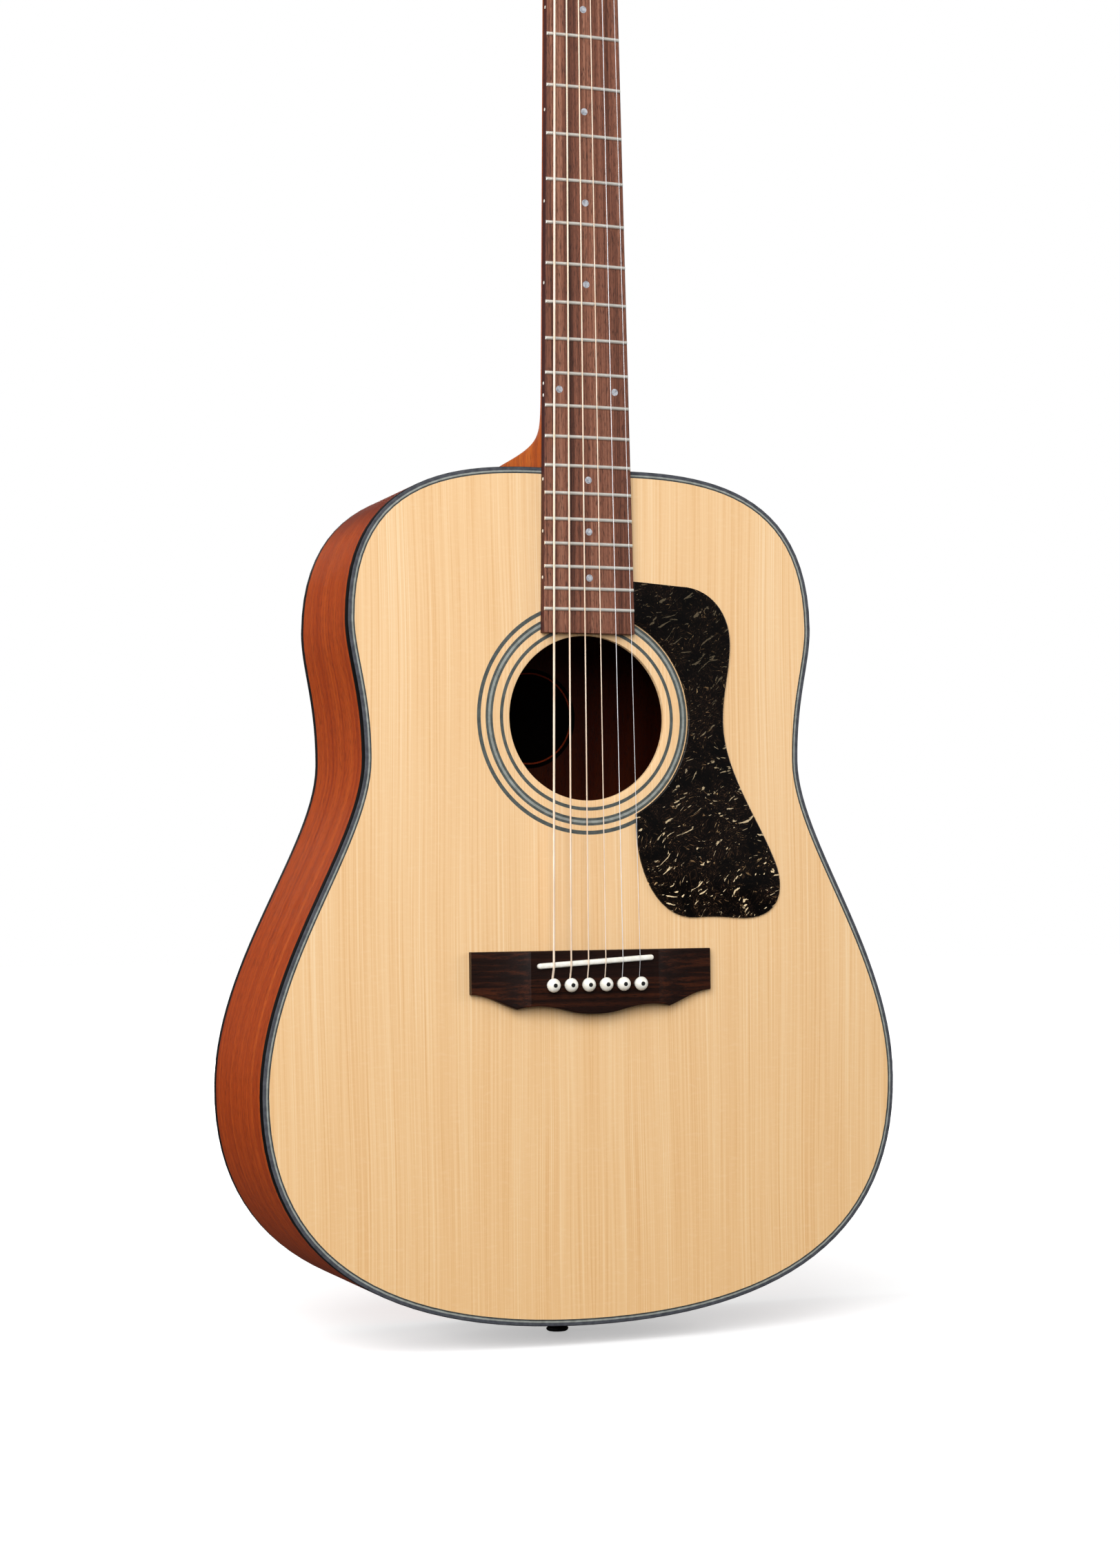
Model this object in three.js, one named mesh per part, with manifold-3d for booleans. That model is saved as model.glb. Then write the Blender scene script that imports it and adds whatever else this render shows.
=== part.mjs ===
// Steel-string acoustic guitar with a dreadnought body, six strings and 3+3 tuning machines.
//
// Frame of the part: millimetres, +Z up along the neck, front (soundboard) facing -Y, +X to the treble side.
// The origin is the centre of the strap button's outer face, at the tail end of the body.
//
// Inside the "guitar" group the luthier's frame is used: x to the treble side, y the depth behind the
// soundboard's outer face, z the height above the tail end of the body.

import * as THREE from "three";
import { mergeVertices } from "three/addons/utils/BufferGeometryUtils.js";
import Module from "manifold-3d";

const wasm = await Module();
wasm.setup();

// ---------------------------------------------------------------- driving dimensions (mm)

const GAP = 0.1; // glue line between touching pieces
const FIT = 0.3; // clearance round pieces that slide or turn
const JOINT_GAP = 0.4; // between the body's shoulders and the neck's heel

const BODY_LENGTH = 502;
const UPPER_BOUT = 292;
const WAIST = 273;
const LOWER_BOUT = 396;
const UPPER_BOUT_Z = 411; // heights of the widest and narrowest places
const WAIST_Z = 330.5;
const LOWER_BOUT_Z = 139;
const DEPTH_NECK = 98; // depth of the body over the plates
const DEPTH_TAIL = 124;

const PLATE = 3; // thickness of soundboard and back
const SIDE = 2.2; // thickness of the bent sides, and width of the binding
const BINDING_HEIGHT = 6.5;
const LINING_WIDTH = 6;
const LINING_HEIGHT = 12;

const SCALE = 647.7; // nut to saddle, before compensation
const FRETS = 20;
const JOINT_FRET = 14; // the fret over the neck joint
const BOARD = 6; // thickness of the fretboard at its centre
const BOARD_CAMBER = 1; // how much lower its edges are
const NUT_WIDTH = 43;
const WIDTH_AT_12 = 53.4;
const FRET_HEIGHT = 1.1;
const FRET_WIDTH = 2.4;
const NUT_THICK = 5;

const HOLE_RADIUS = 48.6;
const HOLE_Z = 355;
const BOARD_END_Z = HOLE_Z + HOLE_RADIUS + 0.9;

const BRIDGE_HALF = 75;
const BRIDGE_TOP_Z = 218.6;
const BRIDGE_HEIGHT = 8.5;
const SADDLE_LENGTH = 72.6;
const SADDLE_WIDTH = 3.2;
const SADDLE_SLANT = THREE.MathUtils.degToRad(3.3);
const SADDLE_RISE = 2.6; // how far the saddle stands out of the bridge
const COMPENSATION = 2.6;
const PIN_Z = 198.7;
const PIN_SPAN = 54.7; // first to sixth string at the pins
const SADDLE_SPAN = 54.2;
const NUT_SPAN = 35.6;
const PIN_HOLE_RADIUS = 3;

const HEAD_TILT = THREE.MathUtils.degToRad(14);
const HEAD_THICK = 14;
const HEADPLATE = 2;
const HEAD_LENGTH = 184;
const POST_HEIGHTS = [38, 78, 118]; // up the head from the nut
const POST_X = [20.5, 21.5, 22.5];
const POST_RADIUS = 2.9;

const BUTTON_RISE = 12; // how far the strap button stands out of the tail

// String radii from the first (high E) to the sixth (low E), light gauge.
const STRING_RADII = [0.15, 0.2, 0.3, 0.4, 0.53, 0.67];

// ---------------------------------------------------------------- derived places

const JOINT_FRET_Z = BODY_LENGTH + 1;
const fretDistance = (n) => SCALE * (1 - 2 ** (-n / 12));
const NUT_Z = JOINT_FRET_Z + fretDistance(JOINT_FRET);
const SADDLE_Z = NUT_Z - SCALE - COMPENSATION;
const boardWidth = (z) => NUT_WIDTH + ((WIDTH_AT_12 - NUT_WIDTH) * (NUT_Z - z)) / fretDistance(12);
const depthAt = (z) => DEPTH_NECK + (DEPTH_TAIL - DEPTH_NECK) * (1 - z / BODY_LENGTH);
const LINED = SIDE + GAP + LINING_WIDTH + GAP; // inset of the clear space inside the linings

// ---------------------------------------------------------------- materials

const material = (color, roughness, metalness = 0) =>
  new THREE.MeshStandardMaterial({ color, roughness, metalness });
const SPRUCE = material(0xe8c48f, 0.45);
const MAHOGANY = material(0x9c4526, 0.5);
const BRACE_WOOD = material(0xd9bb8c, 0.8);
const ROSEWOOD = material(0x6b4536, 0.6);
const DARK_ROSEWOOD = material(0x35201a, 0.55);
const BLACK_PLASTIC = material(0x17181a, 0.35);
const TORTOISE = material(0x1c1512, 0.2);
const BONE = material(0xf3efe2, 0.4);
const NICKEL = material(0xc9c9c6, 0.25, 1);
const BRONZE = material(0xb98a55, 0.35, 1);
const STEEL = material(0xb9bcc0, 0.3, 1);

// ---------------------------------------------------------------- solids and their helpers

// A closed geometry as a manifold-3d solid.
function solid(geometry) {
  const bare = geometry.clone();
  bare.deleteAttribute("normal");
  bare.deleteAttribute("uv");
  const merged = mergeVertices(bare, 1e-4);
  const triVerts = new Uint32Array(merged.index.array);
  const vertProperties = merged.attributes.position.array;
  return new wasm.Manifold(new wasm.Mesh({ numProp: 3, vertProperties, triVerts }));
}

// A manifold-3d solid as a geometry.
function geometryOf(made) {
  const mesh = made.getMesh();
  const geometry = new THREE.BufferGeometry();
  geometry.setAttribute("position", new THREE.BufferAttribute(mesh.vertProperties, 3));
  geometry.setIndex(new THREE.BufferAttribute(mesh.triVerts, 1));
  geometry.computeVertexNormals();
  return geometry;
}

// Moves every vertex to where place(x, y, z) says.
function warp(geometry, place) {
  const position = geometry.getAttribute("position");
  for (let i = 0; i < position.count; i++) {
    position.setXYZ(i, ...place(position.getX(i), position.getY(i), position.getZ(i)));
  }
  return geometry;
}

// A shape drawn in x and z, as a slab whose front and back lie at front(z) and back(z).
function slab(shape, front, back, curveSegments = 12) {
  const geometry = new THREE.ExtrudeGeometry(shape, { depth: 1, bevelEnabled: false, curveSegments });
  return warp(geometry, (x, z, t) => [x, back(z) + t * (front(z) - back(z)), z]);
}

const level = (y) => () => y;

// A block between two corners.
function block(x0, x1, y0, y1, z0, z1) {
  const box = new THREE.BoxGeometry(x1 - x0, y1 - y0, z1 - z0);
  return box.translate((x0 + x1) / 2, (y0 + y1) / 2, (z0 + z1) / 2);
}

// A cylinder along y, from y0 to y1, centred on x and z.
function rod(radius, y0, y1, x, z, sides = 12) {
  return new THREE.CylinderGeometry(radius, radius, y1 - y0, sides).translate(x, (y0 + y1) / 2, z);
}

// A turned piece about the y axis from [radius, y] points, listed so that y rises.
function turned(profile, sides = 12) {
  return new THREE.LatheGeometry(
    profile.map(([r, y]) => new THREE.Vector2(r, y)),
    sides,
  );
}

// A path through a few corner points, with one section at each of them.
class CornerPath extends THREE.Curve {
  constructor(points) {
    super();
    this.points = points;
  }
  getPoint(t, target = new THREE.Vector3()) {
    const last = this.points.length - 1;
    const i = Math.min(Math.floor(t * last + 1e-6), last - 1);
    return target.lerpVectors(this.points[i], this.points[i + 1], t * last - i);
  }
  getPointAt(t, target) {
    return this.getPoint(t, target);
  }
  getTangentAt(t, target = new THREE.Vector3()) {
    const last = this.points.length - 1;
    const i = Math.round(t * last);
    const before = this.points[Math.max(i - 1, 0)];
    const here = this.points[i];
    const after = this.points[Math.min(i + 1, last)];
    const into = new THREE.Vector3().subVectors(here, before).normalize();
    return target.subVectors(after, here).normalize().add(into).normalize();
  }
}

const guitar = new THREE.Group();
guitar.position.set(0, -DEPTH_TAIL / 2, BUTTON_RISE);

const head = new THREE.Group(); // frame of the head: y = 0 on its wood face, z up the head from the nut
const HEAD_FACE_Y = -1;
head.position.set(0, HEAD_FACE_Y, NUT_Z + NUT_THICK);
head.rotation.x = -HEAD_TILT;
head.updateMatrix();
guitar.add(head);

function add(name, made, look, group = guitar) {
  const mesh = new THREE.Mesh(made.isBufferGeometry ? made : geometryOf(made), look);
  mesh.name = name;
  group.add(mesh);
  return mesh;
}

// ---------------------------------------------------------------- body outline

// Four Bezier curves from the neck joint down the treble side to the tail.
function treblePoints() {
  const upper = UPPER_BOUT / 2;
  const waist = WAIST / 2;
  const lower = LOWER_BOUT / 2;
  const curves = [
    [8, [0, BODY_LENGTH], [48, BODY_LENGTH], [upper, UPPER_BOUT_Z + 102], [upper, UPPER_BOUT_Z]],
    [5, [upper, UPPER_BOUT_Z], [upper, UPPER_BOUT_Z - 21], [waist, WAIST_Z + 39], [waist, WAIST_Z]],
    [8, [waist, WAIST_Z], [waist, WAIST_Z - 48], [lower, LOWER_BOUT_Z + 75], [lower, LOWER_BOUT_Z]],
    [11, [lower, LOWER_BOUT_Z], [lower, LOWER_BOUT_Z - 100], [118, 0], [0, 0]],
  ];
  return curves.flatMap(([divisions, ...corners], i) => {
    const points = new THREE.CubicBezierCurve(...corners.map((c) => new THREE.Vector2(...c)));
    return points.getPoints(divisions).slice(i ? 1 : 0);
  });
}

const treble = treblePoints();
const bass = treble.slice(1, -1).reverse();
const outline = [...treble, ...bass.map((p) => new THREE.Vector2(-p.x, p.y))];

// The outline moved inwards by a distance, as a closed list of points.
function insetOutline(distance) {
  return outline.map((p, i) => {
    const before = outline.at(i - 1);
    const after = outline[(i + 1) % outline.length];
    const along = new THREE.Vector2().subVectors(after, before).normalize();
    return new THREE.Vector2(p.x + along.y * distance, p.y - along.x * distance);
  });
}

const insetShape = (distance) => new THREE.Shape(insetOutline(distance));

// A closed band that follows the outline between two insets.
function bandShape(outer, inner) {
  const shape = insetShape(outer);
  shape.holes.push(new THREE.Path(insetOutline(inner).reverse()));
  return shape;
}

// ---------------------------------------------------------------- neck joint, shared by neck and body

const TENON = { half: 15, front: 16, back: 80, length: 18 };
const mortise = (clearance) =>
  block(
    -TENON.half - clearance,
    TENON.half + clearance,
    TENON.front - clearance,
    TENON.back + clearance,
    BODY_LENGTH - TENON.length - clearance,
    BODY_LENGTH + 1,
  );

const pinX = (n) => PIN_SPAN / 2 - ((n - 1) * PIN_SPAN) / 5; // string 1 is on the treble side
const STRINGS = [1, 2, 3, 4, 5, 6];

// Cuts the six pin holes.
function drilled(made, y0, y1) {
  return STRINGS.reduce((rest, n) => rest.subtract(solid(rod(PIN_HOLE_RADIUS, y0, y1, pinX(n), PIN_Z, 10))), made);
}

const backY = (inward) => (z) => depthAt(z) - inward;
const endPinHole = new THREE.CylinderGeometry(4.3, 4.3, 60, 12)
  .rotateX(Math.PI / 2)
  .translate(0, DEPTH_TAIL / 2, 20);

// ---------------------------------------------------------------- plates, sides, bindings, linings

function addBox() {
  const top = insetShape(SIDE + GAP);
  const hole = new THREE.Path().absarc(0, HOLE_Z, HOLE_RADIUS, 0, 2 * Math.PI);
  top.holes.push(hole);
  const board = solid(slab(top, level(0), level(PLATE), 20));
  add("soundboard", drilled(board, -1, PLATE + 1), SPRUCE);
  add("back_plate", slab(insetShape(SIDE + GAP), backY(PLATE), backY(0)), MAHOGANY);

  const rim = solid(slab(bandShape(0, SIDE), level(BINDING_HEIGHT + GAP), backY(BINDING_HEIGHT + GAP)))
    .subtract(solid(mortise(FIT)))
    .subtract(solid(endPinHole));
  const half = (x0, x1) => rim.intersect(solid(block(x0, x1, -10, 200, -10, BODY_LENGTH + 10)));
  add("side_bass", half(-300, -GAP / 2), MAHOGANY);
  add("side_treble", half(GAP / 2, 300), MAHOGANY);

  add("top_binding", slab(bandShape(0, SIDE), level(0), level(BINDING_HEIGHT)), BLACK_PLASTIC);
  add("back_binding", slab(bandShape(0, SIDE), backY(BINDING_HEIGHT), backY(0)), BLACK_PLASTIC);

  // The linings stop at the neck block and run through notches in the tail block.
  const strip = bandShape(SIDE + GAP, SIDE + GAP + LINING_WIDTH);
  const atNeck = solid(block(-NECK_BLOCK.half - GAP, NECK_BLOCK.half + GAP, -10, 200, 450, 520));
  const near = PLATE + GAP;
  const far = near + LINING_HEIGHT;
  add("top_lining", solid(slab(strip, level(near), level(far))).subtract(atNeck), BRACE_WOOD);
  add("back_lining", solid(slab(strip, backY(far), backY(near))).subtract(atNeck), BRACE_WOOD);
}

// ---------------------------------------------------------------- blocks and braces inside the body

const NECK_BLOCK = { half: 36, low: 447 };
const TAIL_BLOCK = { half: 32, high: 24 };
const ROD = { half: 3, depth: 9 }; // truss rod section
const keyWay = (low, high) => solid(block(-4.5, 4.5, 0, ROD.depth + 3, low, high));

function addBlocks() {
  const inside = solid(slab(insetShape(SIDE + GAP), level(PLATE + GAP), backY(PLATE + GAP)));
  const neckBlock = inside
    .intersect(solid(block(-NECK_BLOCK.half, NECK_BLOCK.half, 0, 200, NECK_BLOCK.low, BODY_LENGTH)))
    .subtract(solid(mortise(FIT)))
    .subtract(keyWay(NECK_BLOCK.low - 1, BODY_LENGTH + 1));
  add("neck_block", neckBlock, MAHOGANY);

  const notch = bandShape(0, SIDE + LINING_WIDTH + 3 * GAP);
  const reach = PLATE + 3 * GAP + LINING_HEIGHT;
  const tailBlock = inside
    .intersect(solid(block(-TAIL_BLOCK.half, TAIL_BLOCK.half, 0, 200, 0, TAIL_BLOCK.high)))
    .subtract(solid(slab(notch, level(0), level(reach))))
    .subtract(solid(slab(notch, backY(reach), backY(-1))))
    .subtract(solid(endPinHole));
  add("tail_block", tailBlock, MAHOGANY);
}

// A straight brace in the plane of a plate, from one [x, z] point to another.
function bar([x0, z0], [x1, z1], width, front, back) {
  const length = Math.hypot(x1 - x0, z1 - z0);
  const across = [(-(z1 - z0) * width) / 2 / length, ((x1 - x0) * width) / 2 / length];
  const corner = (x, z, side) => new THREE.Vector2(x + side * across[0], z + side * across[1]);
  const shape = new THREE.Shape([
    corner(x0, z0, -1),
    corner(x1, z1, -1),
    corner(x1, z1, 1),
    corner(x0, z0, 1),
  ]);
  return solid(slab(shape, front, back));
}

const X_BRACE = { z: 277, slope: 1.13, width: 8, height: 15 }; // the legs run slope mm sideways per mm down
const BACK_BRACES = [
  [440, 10, 14],
  [304, 10, 14],
  [214, 18, 9],
  [116, 18, 9],
]; // height, width, height off the back

function addBraces() {
  const space = solid(slab(insetShape(LINED), level(0), backY(0)));
  const glue = PLATE + GAP;
  const onTop = (from, to, width, height) =>
    bar(from, to, width, level(glue), level(glue + height)).intersect(space);

  // The X brace: two crossing legs, half-lapped where they meet.
  const { z, slope, width, height } = X_BRACE;
  const rise = 95;
  const fall = 145;
  const legEnds = (side) => [
    [side * rise * slope, z + rise],
    [-side * fall * slope, z - fall],
  ];
  const lap = (side, front, back) => bar(...legEnds(side), width + 2 * GAP, level(front), level(back));
  const middle = glue + height / 2;
  const deep = glue + height + 1;
  add("x_brace_bass", onTop(...legEnds(-1), width, height).subtract(lap(1, middle - GAP, deep)), BRACE_WOOD);
  add("x_brace_treble", onTop(...legEnds(1), width, height).subtract(lap(-1, 0, middle)), BRACE_WOOD);

  const upperZ = 426;
  const upper = onTop([-200, upperZ], [200, upperZ], 12, 15).subtract(keyWay(upperZ - 10, upperZ + 10));
  add("upper_brace", upper, BRACE_WOOD);
  add("tone_bar_upper", onTop([-80, 171], [112, 126], 7, 12), BRACE_WOOD);
  add("tone_bar_lower", onTop([-62, 118], [92, 74], 7, 11), BRACE_WOOD);

  const plate = onTop([-50, 203.5], [50, 203.5], 34, 3);
  add("bridge_plate", drilled(plate, 0, 10), ROSEWOOD);

  BACK_BRACES.forEach(([at, wide, tall], i) => {
    const made = bar([-250, at], [250, at], wide, backY(glue + tall), backY(glue)).intersect(space);
    add(`back_brace_${i + 1}`, made, BRACE_WOOD);
  });
}

// ---------------------------------------------------------------- bridge, saddle, pins, pickguard

const BRIDGE_END_Z = 194; // lower edge at the ends
const BRIDGE_WING_X = 40; // where the wings begin to scoop down
const BRIDGE_TIP = 4.2; // thickness at the ends
const SADDLE_SLOT = 3; // how near the slot's floor comes to the soundboard

function addBridge() {
  const half = BRIDGE_HALF;
  const edge = BRIDGE_END_Z;
  const shape = new THREE.Shape()
    .moveTo(-half, BRIDGE_TOP_Z)
    .lineTo(-half, edge)
    .bezierCurveTo(-65, edge - 0.5, -58, 188.5, -47.8, 185)
    .bezierCurveTo(-36, 188, -26, 186, -15, 183)
    .bezierCurveTo(-6, 180.8, 6, 180.8, 15, 183)
    .bezierCurveTo(26, 186, 36, 188, 47.8, 185)
    .bezierCurveTo(58, 188.5, 65, edge - 0.5, half, edge)
    .lineTo(half, BRIDGE_TOP_Z);

  // Elevation along the bridge: a flat middle and wings that scoop down to thin ends.
  const wing = BRIDGE_WING_X;
  const tip = -BRIDGE_TIP;
  const top = -BRIDGE_HEIGHT;
  const elevation = new THREE.Shape()
    .moveTo(-half - 1, -GAP)
    .lineTo(-half - 1, tip)
    .bezierCurveTo(-60, tip - 0.3, -48, top + 2.6, -wing, top)
    .lineTo(wing, top)
    .bezierCurveTo(48, top + 2.6, 60, tip - 0.3, half + 1, tip)
    .lineTo(half + 1, -GAP);
  const profile = new THREE.ExtrudeGeometry(elevation, { depth: 60, bevelEnabled: false, curveSegments: 5 });
  profile.translate(0, 0, 170);

  const slotHalf = SADDLE_LENGTH / 2 + GAP;
  const slotWide = SADDLE_WIDTH / 2 + GAP;
  const slot = block(-slotHalf, slotHalf, -20, -SADDLE_SLOT, -slotWide, slotWide);
  slot.rotateY(-SADDLE_SLANT).translate(0, 0, SADDLE_Z);
  const made = solid(slab(shape, level(-20), level(0), 5))
    .intersect(solid(profile))
    .subtract(solid(slot));
  add("bridge", drilled(made, -20, 1), DARK_ROSEWOOD);

  // The saddle is a bone bar with rounded ends.
  const end = SADDLE_WIDTH / 2;
  const reach = SADDLE_LENGTH / 2 - end;
  const plan = new THREE.Shape()
    .absarc(reach, 0, end, -Math.PI / 2, Math.PI / 2)
    .absarc(-reach, 0, end, Math.PI / 2, (3 * Math.PI) / 2);
  const saddle = slab(plan, level(-BRIDGE_HEIGHT - SADDLE_RISE), level(-SADDLE_SLOT - GAP), 6);
  add("saddle", saddle.rotateY(-SADDLE_SLANT).translate(0, 0, SADDLE_Z), BONE);
}

// A bridge pin: ball head, collar and a tapered shank with a groove for the string.
function addPins() {
  const seat = -BRIDGE_HEIGHT - 2.4; // underside of the head
  const profile = [
    [0, seat - 4.4],
    [1.9, seat - 4],
    [3.4, seat - 2.9],
    [4.1, seat - 1.4],
    [3.9, seat - 0.3],
    [2.7, seat],
    [2.65, -BRIDGE_HEIGHT + 6],
    [2.2, -BRIDGE_HEIGHT + 22],
    [0, -BRIDGE_HEIGHT + 24],
  ];
  const groove = block(-0.95, 0.95, seat + GAP, 30, 1.05, 6);
  const pin = solid(turned(profile, 12)).subtract(solid(groove));
  STRINGS.forEach((n) => {
    const mesh = add(`bridge_pin_${n}`, pin, BONE);
    mesh.position.set(pinX(n), 0, PIN_Z);
  });
}

function addPickguard() {
  const left = 29.8;
  const ring = 64; // its inner edge follows the rosette
  const up = Math.asin(Math.sqrt(1 - (left / ring) ** 2));
  const drop = (d) => JOINT_FRET_Z - d; // heights are counted down from the joint fret
  const shape = new THREE.Shape()
    .moveTo(left, drop(66.5))
    .absarc(0, HOLE_Z, ring, up, -up, true)
    .bezierCurveTo(28.5, drop(240), 44, drop(268), 68.5, drop(266.2))
    .bezierCurveTo(82, drop(265), 90, drop(267), 100, drop(267))
    .bezierCurveTo(123, drop(267), 128, drop(249), 118, drop(229))
    .bezierCurveTo(108, drop(206), 87, drop(178), 86.8, drop(150))
    .bezierCurveTo(86.5, drop(132), 92, drop(118), 92, drop(102))
    .bezierCurveTo(92, drop(84), 80, drop(68.7), 60, drop(68.7));
  add("pickguard", slab(shape, level(-1.5 - GAP), level(-GAP), 8), TORTOISE);
}

// ---------------------------------------------------------------- neck, fretboard, nut

const HEEL_DEPTH = 92.5; // depth of the heel, to the heel cap
const CAP_THICK = 2.5;

const SHAFT_DEPTH = 17.5; // depth of the shaft near the heel
const SHAFT_TAPER = 2.5; // how much shallower the shaft is at the nut
const HEEL_SWEEP = { rise: 410, height: 8.3, fall: 3.5, most: 130 };
const SHAFT_ROUND = 1.05; // 1 is an ellipse, and less is squarer
const HEEL_ROUND = 0.34;
// Heights above the body's shoulders at which the neck's section is set.
const NECK_STATIONS = [JOINT_GAP, 9, 11, 12, 13, 14, 15.5, 17, 19, 21, 24, 28, 34, 44, 70, 140, 250];

// Depth of the neck's back behind its top face: a slim shaft that sweeps down into a short heel.
function neckDepth(z) {
  const up = z - BODY_LENGTH;
  const shaft = SHAFT_DEPTH - (SHAFT_TAPER * up) / (NUT_Z - BODY_LENGTH);
  const sweep = HEEL_SWEEP.rise / (1 + (up / HEEL_SWEEP.height) ** HEEL_SWEEP.fall);
  return Math.min(shaft + sweep, HEEL_SWEEP.most);
}

// How round the neck's back is: the shaft nearly an ellipse, the heel much squarer.
function neckRound(z) {
  const share = (neckDepth(z) - SHAFT_DEPTH) / (HEEL_DEPTH + CAP_THICK - SHAFT_DEPTH);
  return SHAFT_ROUND + (HEEL_ROUND - SHAFT_ROUND) * THREE.MathUtils.clamp(share, 0, 1);
}

// One half of a circle, flat in front, for the neck's section.
function neckSection() {
  const points = [];
  const steps = 18;
  for (let i = 0; i <= steps; i++) {
    const a = (Math.PI * i) / steps;
    points.push(new THREE.Vector2(-Math.cos(a), Math.sin(a)));
  }
  return new THREE.Shape(points.reverse());
}

// The outline of the head, drawn in its own frame.
function headShape(base) {
  const neckHalf = NUT_WIDTH / 2;
  return new THREE.Shape()
    .moveTo(-neckHalf, base)
    .lineTo(neckHalf, base)
    .lineTo(neckHalf, 0)
    .bezierCurveTo(22.5, 12, 33, 12, 34.5, 27)
    .lineTo(38, 168)
    .bezierCurveTo(38, 178, 20, HEAD_LENGTH, 0, HEAD_LENGTH)
    .bezierCurveTo(-20, HEAD_LENGTH, -38, 178, -38, 168)
    .lineTo(-34.5, 27)
    .bezierCurveTo(-33, 12, -22.5, 12, -neckHalf, 0);
}

const SIDES = [1, -1];
// Machine 1 to 3 are on the treble side from the nut up, and 4 to 6 on the bass side from the top down.
const MACHINES = [
  [1, 1, 0],
  [2, 1, 1],
  [3, 1, 2],
  [4, -1, 2],
  [5, -1, 1],
  [6, -1, 0],
].map(([n, side, row]) => ({ n, side, x: side * POST_X[row], z: POST_HEIGHTS[row] }));
const BARREL_RADIUS = 4.9;

const machineHoles = (made) =>
  MACHINES.reduce((rest, m) => rest.subtract(solid(rod(BARREL_RADIUS + FIT, -5, 30, m.x, m.z))), made);

function addNeck() {
  const start = BODY_LENGTH + JOINT_GAP;
  const end = NUT_Z + NUT_THICK + 1;
  const stations = [...NECK_STATIONS.map((up) => BODY_LENGTH + up), end];
  const steps = stations.length - 1;
  const shaft = new THREE.ExtrudeGeometry(neckSection(), { depth: 1, steps, bevelEnabled: false });
  warp(shaft, (x, y, t) => {
    const z = stations[Math.round(t * steps)];
    const across = Math.sign(x) * Math.abs(x) ** neckRound(z);
    const deep = Math.max(y, 0) ** neckRound(z);
    return [(across * boardWidth(z)) / 2, deep * neckDepth(z), z];
  });
  const heelCut = block(-60, 60, HEEL_DEPTH, 200, BODY_LENGTH - 5, BODY_LENGTH + 100);
  const tenon = block(-TENON.half, TENON.half, TENON.front, TENON.back, BODY_LENGTH - TENON.length, start + 1);

  const slabOfHead = solid(slab(headShape(-1), level(0), level(HEAD_THICK), 6));
  const tilted = machineHoles(slabOfHead).transform(head.matrix.toArray());
  const channel = block(-ROD.half - GAP, ROD.half + GAP, -1, ROD.depth + GAP, 0, NUT_Z - 4);
  const neck = solid(shaft)
    .subtract(solid(heelCut))
    .add(solid(tenon))
    .add(tilted)
    .subtract(solid(block(-60, 60, -30, 0, BODY_LENGTH, NUT_Z + NUT_THICK)))
    .subtract(solid(channel));
  add("neck", neck, MAHOGANY);

  const capBlock = block(-60, 60, HEEL_DEPTH + GAP, HEEL_DEPTH + CAP_THICK, start, BODY_LENGTH + 100);
  add("heel_cap", solid(shaft).intersect(solid(capBlock)), BLACK_PLASTIC);
  add("truss_rod", block(-ROD.half, ROD.half, GAP, ROD.depth, BODY_LENGTH + 4, NUT_Z - 6), STEEL);
}

// The board's section from -1 to 1 across, cambered in front.
function boardSection(rise) {
  const shape = new THREE.Shape().moveTo(-1, -GAP).lineTo(-1, -BOARD + BOARD_CAMBER - rise);
  const steps = 6;
  for (let i = 1; i <= steps; i++) {
    const x = -1 + (2 * i) / steps;
    shape.lineTo(x, -BOARD + BOARD_CAMBER * x * x - rise);
  }
  return shape.lineTo(1, -GAP);
}

// A stretch of the board, or of a fret standing on it, between two heights.
function boardStretch(z0, z1, rise, trim) {
  const made = new THREE.ExtrudeGeometry(boardSection(rise), { depth: 1, steps: 1, bevelEnabled: false });
  return warp(made, (x, y, t) => {
    const z = z0 + (z1 - z0) * t;
    return [x * (boardWidth(z) / 2 - trim), y, z];
  });
}

function addFretboard() {
  let board = solid(boardStretch(BOARD_END_Z, NUT_Z - GAP, 0, 0));
  for (let n = 1; n <= FRETS; n++) {
    const z = NUT_Z - fretDistance(n);
    board = board.add(solid(boardStretch(z - FRET_WIDTH / 2, z + FRET_WIDTH / 2, FRET_HEIGHT, 0.4)));
  }
  add("fretboard", board, ROSEWOOD);

  // The nut stands proud of the board and has a slot for each string.
  const half = NUT_WIDTH / 2;
  let nut = solid(block(-half, half, NUT_TOP - 0.5, -GAP, NUT_Z, NUT_Z + NUT_THICK - GAP));
  STRINGS.forEach((n) => {
    const r = STRING_RADII[n - 1] + GAP;
    nut = nut.subtract(solid(block(nutX(n) - r, nutX(n) + r, NUT_TOP - 2, NUT_TOP, NUT_Z - 1, NUT_Z + 9)));
  });
  add("nut", nut, BONE);
}

const NUT_TOP = -BOARD - FRET_HEIGHT - 0.4; // bottom of the string slots
const nutX = (n) => NUT_SPAN / 2 - ((n - 1) * NUT_SPAN) / 5;

// ---------------------------------------------------------------- head: plate and tuning machines

const GEAR = { radius: 6, low: 17.5, high: 22.5 }; // worm wheel on the foot of the post
const WORM = { radius: 2.3, y: 20, drop: 8.6 }; // the worm's axis lies below the post's
const HOUSING = { inner: 9, outer: 12, low: 13, high: 8.5, back: 25.6 };
const STRING_LEVEL = -13; // where the strings meet the posts, in the head's frame

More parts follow.
